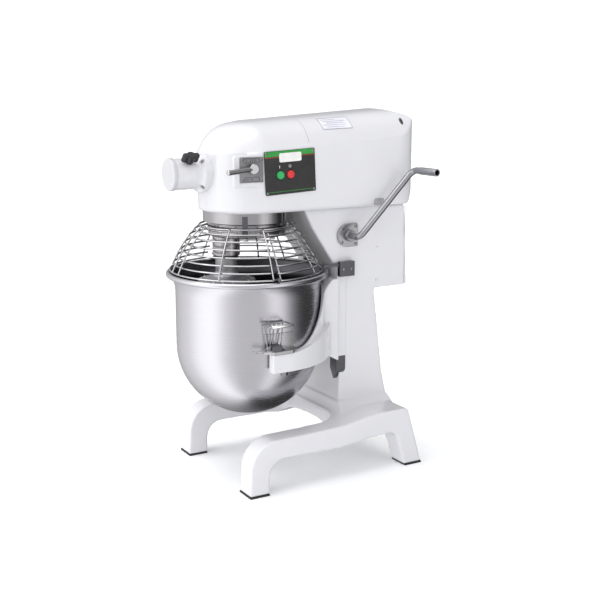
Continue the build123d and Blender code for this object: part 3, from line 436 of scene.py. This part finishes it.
def lathe(shape, profile, centre, segments=128):
    """Turns a (radius, z) profile about a vertical axis at centre (x, y)."""
    rows = []
    for radius, z in profile:
        if radius < 1e-6:
            rows.append([shape.verts.new((centre[0], centre[1], z))])
        else:
            rows.append([shape.verts.new((centre[0] + radius * cos(a), centre[1] + radius * sin(a), z))
                         for a in (2 * pi * step / segments for step in range(segments))])
    join_rows(shape, rows, segments)


def join_rows(shape, rows, segments):
    """Skins neighbouring rings of a turned shape; a one-vertex ring is a pole."""
    for one, two in zip(rows, rows[1:]):
        if len(one) == 1 and len(two) == 1:
            continue
        for step in range(segments):
            after = (step + 1) % segments
            corners = [one[step % len(one)], one[after % len(one)],
                       two[after % len(two)], two[step % len(two)]]
            shape.faces.new(list(dict.fromkeys(corners)))


def arc_points(centre, radius, start, end, steps):
    """Points on an arc in a (radius, z) plane; angles in degrees."""
    angles = [radians(start + (end - start) * step / steps) for step in range(steps + 1)]
    return [(centre[0] + radius * cos(a), centre[1] + radius * sin(a)) for a in angles]


# ---------------------------------------------------------------- wire guard
WIRE_R = 0.0020
GUARD_RINGS = [(0.115, 0.555), (0.127, 0.542), (0.1365, 0.5265), (0.145, 0.511), (0.155, 0.496),
               (0.163, 0.481), (0.1715, 0.467)]
# angles in degrees, counted as guard_point counts them
FRONT_RODS = (-80.5, -42.5, -5, 5, 42.5, 80.5)
REAR_RODS = (88, 127, 150, 210, 233, 272)
FRONT_SPAN = (-83, 83)
REAR_SPAN = (86, 274)
LATCH_ANGLE = 84
LATCH_Z = 0.4690


def guard_point(angle, radius, z):
    """Point at an angle from the front, counted towards the operator's side."""
    return (sin(radians(angle)) * radius, BOWL_Y - cos(radians(angle)) * radius, z)


def guard_ring(shape, radius, z, start, end):
    """One wire of the guard, from one angle to another, or right round."""
    full = end - start >= 360
    steps = int((end - start) / 3)
    count = steps if full else steps + 1
    tube(shape, [guard_point(start + (end - start) * step / steps, radius, z) for step in range(count)],
         WIRE_R, closed=full)


def bent(points, steps=18):
    """Smooth run through three (radius, z) points: the arc they lie on."""
    (x1, z1), (x2, z2), (x3, z3) = points
    d = 2 * (x1 * (z2 - z3) + x2 * (z3 - z1) + x3 * (z1 - z2))
    s1, s2, s3 = x1 * x1 + z1 * z1, x2 * x2 + z2 * z2, x3 * x3 + z3 * z3
    cx = (s1 * (z2 - z3) + s2 * (z3 - z1) + s3 * (z1 - z2)) / d
    cz = (s1 * (x3 - x2) + s2 * (x1 - x3) + s3 * (x2 - x1)) / d
    radius = Vector((x1 - cx, z1 - cz)).length
    start, end = atan2(z1 - cz, x1 - cx), atan2(z3 - cz, x3 - cx)
    if end - start > pi:
        end -= 2 * pi
    if start - end > pi:
        start -= 2 * pi
    turns = [start + (end - start) * k / steps for k in range(steps + 1)]
    return [(cx + radius * cos(turn), cz + radius * sin(turn)) for turn in turns]


def make_guard():
    """Front half that swings, and rear half fixed under the collar."""
    shape = bmesh.new()
    guard_ring(shape, 0.105, 0.565, 0, 360)
    for radius, z in GUARD_RINGS:
        guard_ring(shape, radius, z, *FRONT_SPAN)
    front_rod = bent([(0.105, 0.567), (0.140, 0.5286), (0.175, 0.469)])
    for angle in FRONT_RODS:
        tube(shape, [guard_point(angle, radius, z) for radius, z in front_rod], WIRE_R - 0.0002)
    finish_mesh("guard_front_wires", shape, "chrome", "front_guard", "guard_front")
    shape = bmesh.new()
    outward = Vector(guard_point(LATCH_ANGLE, 1, 0)) - Vector((0, BOWL_Y, 0))
    turned(shape, [(0, 0), (0, 0.0034), (0.0025, 0.0034), (0.003, 0.0024), (0.005, 0.0024), (0.0055, 0.0038),
                   (0.009, 0.0038), (0.0098, 0.003), (0.010, 0)],
           guard_point(LATCH_ANGLE, 0.1715, LATCH_Z), outward, 24)
    tube(shape, [guard_point(angle, 0.1748, LATCH_Z) for angle in (80, 82, LATCH_ANGLE)], 0.0016)
    finish_mesh("guard_latch", shape, "dark_zinc", "front_guard", sharp=40)
    shape = bmesh.new()
    guard_ring(shape, 0.0995, 0.560, 0, 360)
    for radius, z in GUARD_RINGS:
        guard_ring(shape, radius - 0.0045, z - 0.0026, *REAR_SPAN)
    rear_rod = bent([(0.0995, 0.560), (0.1285, 0.5218), (0.1635, 0.4623)])
    for angle in REAR_RODS:
        tube(shape, [guard_point(angle, radius, z) for radius, z in rear_rod], WIRE_R - 0.0002)
    finish_mesh("guard_rear_wires", shape, "chrome", "frame", "guard_rear")


# ---------------------------------------------------------------- bowl
def make_bowl():
    """Deep drawn bowl with a flared, rolled rim."""
    wall = 0.0016
    radius = 0.161
    middle = (0.0, 0.298)
    outside = arc_points(middle, radius, -90, 0, 40)
    flare = [(0.161, 0.36), (0.161, 0.42), (0.1615, 0.430), (0.1640, 0.439), (0.1675, 0.4465),
             (0.1695, 0.4505)]
    roll = arc_points((0.175, 0.457), 0.006, 228, 498, 18)
    inside_flare = [(0.1685, 0.4550), (0.1660, 0.4480), (0.1625, 0.4400), (0.1600, 0.4305), (0.1594, 0.42),
                    (0.1594, 0.36)]
    inside = arc_points(middle, radius - wall, 0, -90, 40)
    outside[0] = (0.0, outside[0][1])
    inside[-1] = (0.0, inside[-1][1])
    shape = bmesh.new()
    lathe(shape, outside + flare + roll, (0, BOWL_Y))
    outside_faces = len(shape.faces)
    lathe(shape, [roll[-1]] + inside_flare + inside, (0, BOWL_Y))
    # the inside faces take the darker steel copy, which is painted shade
    for index, face in enumerate(shape.faces):
        face.material_index = int(index >= outside_faces)
    bmesh.ops.remove_doubles(shape, verts=shape.verts, dist=1e-6)
    finish_mesh("mixing_bowl", shape, "bowl_steel", "carriage", "bowl", second="bowl_inside_painted_shade")


# ---------------------------------------------------------------- whisk
def make_whisk():
    """Balloon whisk: wire loops that cross low down, and the rivets on its plate."""
    axis_y = BOWL_Y - 0.052
    loops = 8
    rivet_circle = 0.0555
    shape = bmesh.new()
    for loop in range(loops):
        bearing = pi * loop / loops
        low = 0.155 + 0.0042 * loop
        half = [(0.058, 0.442), (0.0585, 0.432), (0.068, 0.404), (0.081, 0.370), (0.0905, 0.335),
                (0.0945, 0.300), (0.0925, 0.265), (0.084, 0.235), (0.068, 0.2085 + 0.0018 * loop),
                (0.045, 0.184 + 0.003 * loop), (0.022, low + 0.008)]
        line = half + [(0.0, low)] + [(-radius, z) for radius, z in reversed(half)]
        smooth = catmull(line, 5)
        tube(shape, [(cos(bearing) * radius, axis_y + sin(bearing) * radius, z) for radius, z in smooth],
             0.0018)
    finish_mesh("whisk_loops", shape, "chrome", "agitator", "whisk_wires")
    shape = bmesh.new()
    for rivet in range(2 * loops):
        bearing = pi * (rivet + 0.5) / loops
        turned(shape, [(0, 0.0036), (0.0012, 0.0034), (0.0021, 0.0022), (0.0024, 0)],
               (cos(bearing) * rivet_circle, axis_y + sin(bearing) * rivet_circle, 0.4472), (0, 0, 1), 16)
    finish_mesh("whisk_rivets", shape, "chrome", "agitator", sharp=50)


def catmull(points, steps):
    """Smooth line through points in a plane."""
    padded = [points[0]] + list(points) + [points[-1]]
    line = []
    for p0, p1, p2, p3 in zip(padded, padded[1:], padded[2:], padded[3:]):
        for k in range(steps):
            t = k / steps
            line.append(tuple(0.5 * (2 * b + (c - a) * t + (2 * a - 5 * b + 4 * c - d) * t * t
                                     + (3 * b - a - 3 * c + d) * t ** 3)
                              for a, b, c, d in zip(p0, p1, p2, p3)))
    line.append(points[-1])
    return line


# ---------------------------------------------------------------- crank
def bent_rod(corners, steps=8):
    """Points of a rod through corners (point, bend radius), with round bends."""
    points = [Vector(corners[0][0])]
    for (before, _), (corner, radius), (after, _) in zip(corners, corners[1:], corners[2:]):
        before, corner, after = Vector(before), Vector(corner), Vector(after)
        arrive = (corner - before).normalized()
        leave = (after - corner).normalized()
        turn = arrive.angle(leave)
        reach = radius * tan(turn / 2)
        start = corner - arrive * reach
        inward = (leave - arrive * arrive.dot(leave)).normalized()
        centre = start + inward * radius
        for step in range(steps + 1):
            a = turn * step / steps
            points.append(centre + radius * (arrive * sin(a) - inward * cos(a)))
    points.append(Vector(corners[-1][0]))
    return points


def turned(shape, profile, start, axis, segments=32):
    """Turns a (distance along axis, radius) profile about a line; radius 0 closes an end."""
    axis = Vector(axis).normalized()
    side = axis.orthogonal().normalized()
    up = axis.cross(side)
    rows = []
    for distance, radius in profile:
        middle = Vector(start) + axis * distance
        if radius < 1e-7:
            rows.append([shape.verts.new(middle)])
        else:
            rows.append([shape.verts.new(middle + radius * (side * cos(a) + up * sin(a)))
                         for a in (2 * pi * step / segments for step in range(segments))])
    join_rows(shape, rows, segments)


CRANK_AXIS = (0.077, 0.535)  # y and z of the shaft
CRANK_LEAN = radians(45.2)
CRANK_X = 0.133  # plane the arm turns in
CRANK_ARM = 0.2015


def make_crank():
    """One bent rod: shaft, arm and grip, with a sleeve on the grip and a collar at the plate."""
    top = (CRANK_X, CRANK_AXIS[0] + CRANK_ARM * cos(CRANK_LEAN), CRANK_AXIS[1] + CRANK_ARM * sin(CRANK_LEAN))
    shape = bmesh.new()
    line = bent_rod([((-0.084, *CRANK_AXIS), 0), ((CRANK_X, *CRANK_AXIS), 0.015), (top, 0.017),
                     ((0.160, *top[1:]), 0)], 10)
    tube(shape, line, 0.0072, sides=24)
    turned(shape, [(0, 0), (0, 0.0125), (0.0005, 0.013), (0.008, 0.013), (0.0095, 0.0118), (0.0095, 0)],
           (0.0915, *CRANK_AXIS), (1, 0, 0))
    finish_mesh("crank_rod", shape, "zinc_steel", "crank", "crank_shaft", "crank_handle", sharp=40)
    shape = bmesh.new()
    turned(shape, [(0, 0.0072), (0.0008, 0.0082), (0.0595, 0.0082), (0.0605, 0.0078), (0.0608, 0.0068),
                   (0.0605, 0.0058), (0.058, 0.0055), (0.030, 0.0055), (0.030, 0)],
           (0.1608, *top[1:]), (1, 0, 0))
    finish_mesh("crank_grip", shape, "zinc_steel", "crank", sharp=50)


# ---------------------------------------------------------------- screws with driver slots
def screw_head(shape, place, axis, radius, height, slot_turn=0.0, cross=False):
    """Domed screw head with a sunk slot."""
    axis = Vector(axis).normalized()
    turned(shape, [(0, radius), (height * 0.45, radius), (height * 0.8, radius * 0.82),
                   (height, radius * 0.45), (height * 1.02, 0)], place, axis, 24)
    side = axis.orthogonal().normalized()
    side = Matrix.Rotation(radians(slot_turn), 3, axis) @ side
    for turn in (0, 90) if cross else (0,):
        along = Matrix.Rotation(radians(turn), 3, axis) @ side
        over = axis.cross(along)
        corners = []
        for c in (0, 1):
            for a, b in ((-1, -1), (1, -1), (1, 1), (-1, 1)):
                corners.append(shape.verts.new(Vector(place) + along * (a * radius * 0.72)
                                               + over * (b * radius * 0.13)
                                               + axis * (height * (0.7 + 0.36 * c))))
        for ids in ((0, 3, 2, 1), (4, 5, 6, 7), (0, 1, 5, 4), (1, 2, 6, 5), (2, 3, 7, 6), (3, 0, 4, 7)):
            face = shape.faces.new([corners[k] for k in ids])
            face.material_index = 1


# places are (along the machine from the bowl axis, height)
PANEL_SCREWS = ((-0.057, -0.0415), (0.057, -0.0415), (-0.057, 0.0415), (0.057, 0.0415))  # on the panel
GEAR_SCREWS = [(y, z) for y in (-0.067, -0.022) for z in (0.671, 0.714)]
CRANK_SCREWS = ((0.227, 0.515), (0.227, 0.555), (0.191, 0.520), (0.191, 0.550))
SADDLE_SCREWS = ((0.192, 0.460), (0.212, 0.460))
REAR_BOX_SCREWS = ((0.291, 0.425), (0.291, 0.500), (0.291, 0.578))


def make_screws():
    """Panel, gear plate, crank plate and slide screws, and those of the rear box."""
    shape = bmesh.new()
    for along, up in PANEL_SCREWS:
        screw_head(shape, panel_point(along, up, PANEL_FACE), (1, 0, 0), 0.0029, 0.0014, 35, True)
    for y, z in GEAR_SCREWS:
        screw_head(shape, (0.109, BOWL_Y + y, z), (1, 0, 0), 0.003, 0.0015, 20)
    for y, z in CRANK_SCREWS:
        screw_head(shape, (0.091, BOWL_Y + y, z), (1, 0, 0), 0.0036, 0.002, 60)
    for y, z in SADDLE_SCREWS:
        screw_head(shape, (0.099, BOWL_Y + y, z), (1, 0, 0), 0.0036, 0.0025, 15)
    finish_mesh("cover_screws", shape, "zinc_steel", "frame", "panel_screws", "body_screws", second="ink",
                sharp=40)
    shape = bmesh.new()
    for hand in (1, -1):
        for y, z in REAR_BOX_SCREWS:
            screw_head(shape, (hand * BOX_SIDE, BOWL_Y + y, z), (hand, 0, 0), 0.004, 0.002, 45)
    finish_mesh("rear_box_screws", shape, "white_paint", "frame", second="white_paint", sharp=40)


# ---------------------------------------------------------------- control panel and gear plate print
PANEL_MIDDLE = Vector((0.107, BOWL_Y + 0.0485, 0.6853))
PANEL_LEAN = radians(2.7)
PANEL_FACE = 0.0020  # printed face of the panel, out from PANEL_MIDDLE
PRINT_SINK = 0.0003
BUTTONS = ((-0.0258, -0.0051), (-0.0008, -0.0053))


def panel_point(along, up, out):
    """Point on the leaning control panel: along it, up it, and out from the head."""
    return PANEL_MIDDLE + Vector((out, along * cos(PANEL_LEAN) - up * sin(PANEL_LEAN),
                                  along * sin(PANEL_LEAN) + up * cos(PANEL_LEAN)))


def rounded_rectangle(x0, y0, x1, y1, radius, steps=5):
    """Corner-rounded rectangle as (x, y) points."""
    points = []
    for cx, cy, start in ((x1 - radius, y1 - radius, 0), (x0 + radius, y1 - radius, 90),
                          (x0 + radius, y0 + radius, 180), (x1 - radius, y0 + radius, 270)):
        points += arc_points((cx, cy), radius, start, start + 90, steps)
    return points


def slab(shape, points, place, low, high, soft=0.0002):
    """Thin plate with softened upper edges; place(x, y, height) gives a point."""
    middle = Vector((sum(p[0] for p in points), sum(p[1] for p in points))) / len(points)
    rows = []
    for height, inset in ((low, 0), (high - soft, 0), (high, soft)):
        row = []
        for point in points:
            inward = (middle - Vector(point)).normalized() * inset
            row.append(shape.verts.new(place(point[0] + inward.x, point[1] + inward.y, height)))
        rows.append(row)
    for one, two in zip(rows, rows[1:]):
        for k in range(len(points)):
            shape.faces.new((one[k], one[(k + 1) % len(points)], two[(k + 1) % len(points)], two[k]))
    shape.faces.new(rows[-1])
    shape.faces.new(list(reversed(rows[0])))


def panel_patch(shape, x0, y0, x1, y1, radius, rise):
    """Thin printed patch standing a little proud of the panel's face."""
    slab(shape, rounded_rectangle(x0, y0, x1, y1, radius), panel_point, PANEL_FACE - PRINT_SINK,
         PANEL_FACE + rise)


def make_panel_print():
    """Coloured bands, a blank name plate and plain start and stop signs on the control panel."""
    shape = bmesh.new()
    panel_patch(shape, -0.0608, 0.0345, 0.0608, 0.0453, 0.0024, 0.0003)
    panel_patch(shape, -0.0560, -0.0405, 0.0560, -0.0397, 0.0003, 0.0002)
    finish_mesh("panel_green_bands", shape, "green_print", "frame", sharp=30)
    shape = bmesh.new()
    panel_patch(shape, -0.0605, 0.0322, 0.0605, 0.0334, 0.0004, 0.0002)
    finish_mesh("panel_red_line", shape, "red_print", "frame", sharp=30)
    shape = bmesh.new()
    panel_patch(shape, -0.0260, 0.0215, 0.0280, 0.0405, 0.0036, 0.0007)
    # start sign: a bar; stop sign: a ring
    panel_patch(shape, -0.0265, 0.0095, -0.0252, 0.0150, 0.0005, 0.0002)
    ring = [panel_point(-0.0008 + 0.0026 * cos(a), 0.0122 + 0.0026 * sin(a), PANEL_FACE)
            for a in (2 * pi * k / 24 for k in range(24))]
    tube(shape, ring, 0.0004, closed=True, sides=6)
    finish_mesh("panel_name_plate", shape, "white_print", "frame", sharp=30)
    # thin dark bezels round both buttons
    shape = bmesh.new()
    for along, up in BUTTONS:
        ring = [panel_point(along + 0.0098 * cos(a), up + 0.0098 * sin(a), PANEL_FACE + 0.0004)
                for a in (2 * pi * k / 40 for k in range(40))]
        tube(shape, ring, 0.0009, closed=True, sides=8)
    finish_mesh("button_bezels", shape, "black_plastic", "frame")


def make_gear_plate_print():
    """Engraved numbers and frames on the gear plate."""
    def place(y, z, out):
        return Vector((0.109 + out, BOWL_Y + y, z))
    shape = bmesh.new()
    for y0, y1 in ((-0.0625, -0.0465), (-0.0425, -0.0265)):
        for z0, z1 in ((0.6685, 0.6775), (0.7075, 0.7165)):
            outline = rounded_rectangle(y0, z0, y1, z1, 0.0012)
            tube(shape, [place(y, z, 0.0001) for y, z in outline], 0.0005, closed=True, sides=6)
    for y, z, count in ((-0.0560, 0.712, 1), (-0.0360, 0.712, 2), (-0.0560, 0.673, 3)):
        for k in range(count):
            middle = y + 0.003 * (k - (count - 1) / 2)
            mark = rounded_rectangle(middle - 0.0005, z - 0.0028, middle + 0.0005, z + 0.0028, 0.0003)
            slab(shape, mark, place, -0.0002, 0.0002)
    finish_mesh("gear_plate_marks", shape, "ink", "frame", sharp=40)


# ---------------------------------------------------------------- bowl clamps
def make_clamp(hand, name):
    """Wire handle with a thick outer bar, thin legs and a coil spring at its foot."""
    body = f"clamp_{name}"
    pivot = Vector((hand * 0.172, 0, 0.324))
    inner, outer, top = hand * 0.1665, hand * 0.2028, 0.376
    front, back = BOWL_Y - 0.0535, BOWL_Y + 0.0015
    shape = bmesh.new()
    frame_line = bent_rod([((outer, front + 0.004, top), 0), ((outer, front, top), 0.0035),
                           ((inner, front, top), 0.0035), ((inner, back, top), 0.0035),
                           ((outer, back, top), 0.0035), ((outer, back - 0.004, top), 0)], 6)
    tube(shape, frame_line, 0.0021, sides=12)
    for y_top, y_foot in ((front + 0.004, -0.0445), (front + 0.017, -0.038), (front + 0.027, -0.033),
                          (back - 0.017, -0.028), (back - 0.006, -0.0135)):
        foot = Vector((pivot.x, BOWL_Y + y_foot, pivot.z))
        head = Vector((inner, y_top, top))
        knee = foot.lerp(head, 0.22) + Vector((hand * 0.0012, 0, 0))
        tube(shape, [foot, knee, head], 0.0013, sides=8)
    # the foot rod turns in the base
    tube(shape, [(pivot.x, BOWL_Y - 0.046, pivot.z), (pivot.x, BOWL_Y - 0.010, pivot.z)], 0.0023, sides=12)
    coil = []
    coil_turns, coil_sides = 9, 12
    for k in range(coil_turns * coil_sides + 1):
        a = 2 * pi * k / coil_sides
        coil.append((pivot.x + 0.0047 * cos(a), BOWL_Y - 0.0455 + 0.0072 * k / (coil_turns * coil_sides),
                     pivot.z + 0.0047 * sin(a)))
    tube(shape, coil, 0.0008, sides=6)
    finish_mesh(f"clamp_wires_{name}", shape, "zinc_steel", body, f"bowl_clamp_{name}")
    shape = bmesh.new()
    turned(shape, [(0, 0), (0, 0.0026), (0.0015, 0.0034), (0.0485, 0.0034), (0.050, 0.0026), (0.050, 0)],
           (outer, front + 0.0025, top), (0, 1, 0), 20)
    # the bar takes the brighter chrome copy, which is a painted highlight
    finish_mesh(f"clamp_bar_{name}", shape, "chrome_painted_highlight", body, sharp=50)
    shape = bmesh.new()
    for x, z in ((hand * 0.1665, 0.3205), (hand * 0.1825, 0.3205)):
        line = bent_rod([((x, BOWL_Y - 0.010, z), 0), ((x, BOWL_Y - 0.074, z), 0.002),
                         ((x, BOWL_Y - 0.076, z), 0)], 4)
        tube(shape, line, 0.0014, sides=8)
    finish_mesh(f"clamp_foot_wires_{name}", shape, "zinc_steel", "carriage")


# ---------------------------------------------------------------- small parts on the head
SEAM_Y = -0.035  # joint between the two covers
LABEL_Y = (0.010, 0.084)
LABEL_TILT = (32, 51)  # degrees from straight up, seen from the head's middle
# printed rules: tilt, and where each starts and ends as shares of the label's length
LABEL_LINES = [(35.5, 0.0, 0.6), (39, 0.0, 0.9), (42, 0.15, 0.85), (45, 0.0, 0.9), (48, 0.1, 0.8)]
PLUG = (0.2165, 46)  # distance along the machine, and tilt
LUG_BOX = (0.132, 0.6005, 0.160, 0.6165)
BOX_JOINT = (0.2345, 0.411, 0.592)  # y, and the heights it starts and ends at


def make_head_details(head):
    """Cover joint line, blank rating label, corner plug, side lugs and the rear box's joint lines."""
    tree = BVHTree.FromPolygons([vert.co for vert in head.data.vertices],
                                [face.vertices for face in head.data.polygons])

    def skin(y, angle, lift=0.0, centre=0.70):
        """Point on the covers seen from the head's middle, at an angle from straight up towards +X."""
        way = Vector((sin(radians(angle)), 0, cos(radians(angle))))
        hit, normal, _, _ = tree.ray_cast(Vector((0, y, centre)) + way * 0.3, -way)
        return hit + normal * lift

    shape = bmesh.new()
    tube(shape, [skin(SEAM_Y, angle, -0.0003) for angle in range(-66, 67, 3)], 0.0007, sides=8)
    finish_mesh("cover_joint_line", shape, "seam_grey", "frame")
    shape = bmesh.new()
    low, high = LABEL_TILT
    steps = 12
    ys = [LABEL_Y[0] + (LABEL_Y[1] - LABEL_Y[0]) * k / steps for k in range(steps + 1)]
    tilts = [low + (high - low) * k / steps for k in range(steps + 1)]
    rows = [[shape.verts.new(skin(y, tilt, 0.0004)) for y in ys] for tilt in tilts]
    for one, two in zip(rows, rows[1:]):
        for k in range(steps):
            shape.faces.new((one[k], one[k + 1], two[k + 1], two[k]))
    finish_mesh("rating_label", shape, "label_white", "frame")
    # border and plain rules, with no lettering
    shape = bmesh.new()
    corners = ([(y, low) for y in ys] + [(ys[-1], tilt) for tilt in tilts[1:]]
               + [(y, high) for y in reversed(ys[:-1])] + [(ys[0], tilt) for tilt in reversed(tilts[1:-1])])
    border = [skin(y, tilt, 0.0006) for y, tilt in corners]
    tube(shape, border, 0.0006, closed=True, sides=6)
    margin = 0.006
    for tilt, start, end in LABEL_LINES:
        first, last = (ys[0] + margin + (ys[-1] - ys[0] - 2 * margin) * share for share in (start, end))
        rule = [skin(first + (last - first) * k / 8, tilt, 0.0004) for k in range(9)]
        tube(shape, rule, 0.0005, sides=6)
    finish_mesh("label_rules", shape, "label_print", "frame")
    # oval plug in the rear corner of the cover
    middle = skin(PLUG[0], PLUG[1])
    outward = (middle - skin(PLUG[0], PLUG[1], -0.01)).normalized()
    along = (skin(PLUG[0], PLUG[1] + 6) - middle).normalized()
    across = outward.cross(along)
    shape = bmesh.new()
    slab(shape, [(0.009 * cos(a), 0.0042 * sin(a)) for a in (2 * pi * k / 32 for k in range(32))],
         lambda x, y, height: middle + along * x + across * y + outward * height, -0.003, 0.0012, 0.0006)
    finish_mesh("cover_plug", shape, "dark_zinc", "frame", sharp=40)
    # low lug where the head meets the rear box, and the joint of the box's back plate
    for hand, side in ((1, "right"), (-1, "left")):
        shape = bmesh.new()
        slab(shape, rounded_rectangle(*LUG_BOX, 0.005),
             lambda y, z, out: Vector((hand * (0.1065 + out), y, z)), -0.002, 0.0012, 0.0006)
        turned(shape, [(0, 0.0045), (0.002, 0.0045), (0.003, 0.0035), (0.0032, 0)],
               (hand * 0.107, 0.146, 0.6085), (hand, 0, 0), 20)
        finish_mesh(f"head_lug_{side}", shape, "seam_grey", "frame", sharp=40)
        shape = bmesh.new()
        y, foot, top = BOX_JOINT
        tube(shape, [(hand * BOX_SIDE, y, foot), (hand * BOX_SIDE, y, top)], 0.0007, sides=8)
        finish_mesh(f"rear_box_joint_{side}", shape, "seam_grey", "frame")


# ---------------------------------------------------------------- cast and enamelled bodies
THIN_NODES = ("rear_box", "front_top_cover", "rear_top_cover")  # walls too thin for the grain: grown solid


def grown_solid(node):
    """Mesh of a thin-walled node with its inside filled."""
    solid = bmesh.new()
    solid.from_mesh(nodes[node].data)
    hull = bmesh.ops.convex_hull(solid, input=solid.verts)
    inner = [item for item in hull["geom_interior"] if isinstance(item, bmesh.types.BMVert)]
    bmesh.ops.delete(solid, geom=inner, context="VERTS")
    filled = bpy.data.meshes.new("filled")
    solid.to_mesh(filled)
    solid.free()
    return filled


def casting(name, body, grain, rounds, keep, *replaced):
    """One smooth casting grown over CAD solids: joints run together and edges are rounded."""
    shape = bmesh.new()
    for node in replaced:
        if node in THIN_NODES:
            filled = grown_solid(node)
            shape.from_mesh(filled)
            bpy.data.meshes.remove(filled)
        else:
            shape.from_mesh(nodes[node].data)
    data = bpy.data.meshes.new(name)
    shape.to_mesh(data)
    shape.free()
    piece = bpy.data.objects.new(name, data)
    scene.collection.objects.link(piece)
    remesh = piece.modifiers.new("grow", "REMESH")
    remesh.mode = "VOXEL"
    remesh.voxel_size = grain
    remesh.use_smooth_shade = True
    smooth = piece.modifiers.new("round", "SMOOTH")
    smooth.factor = 0.5
    smooth.iterations = rounds
    thin = piece.modifiers.new("thin", "DECIMATE")
    thin.ratio = keep
    made = bpy.data.meshes.new_from_object(piece.evaluated_get(bpy.context.evaluated_depsgraph_get()))
    piece.modifiers.clear()
    piece.data = made
    bpy.data.meshes.remove(data)
    made.name = name
    made.materials.clear()
    made.materials.append(materials["white_paint"])
    made.shade_smooth()
    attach(piece, body)
    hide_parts(*replaced)
    return piece


make_camera()
make_studio()
materials = make_materials()
paint_nodes(materials)
make_guard()
make_bowl()
make_whisk()
make_crank()
make_screws()
make_panel_print()
make_gear_plate_print()
make_clamp(1, "right")
make_clamp(-1, "left")
casting("stand_casting", "frame", 0.0026, 7, 0.35, "base", "column", "rear_box")
casting("saddle_casting", "carriage", 0.0018, 6, 0.4, "saddle")
head = casting("head_body", "frame", 0.0022, 2, 0.4, "head_casting", "front_top_cover", "rear_top_cover")
make_head_details(head)
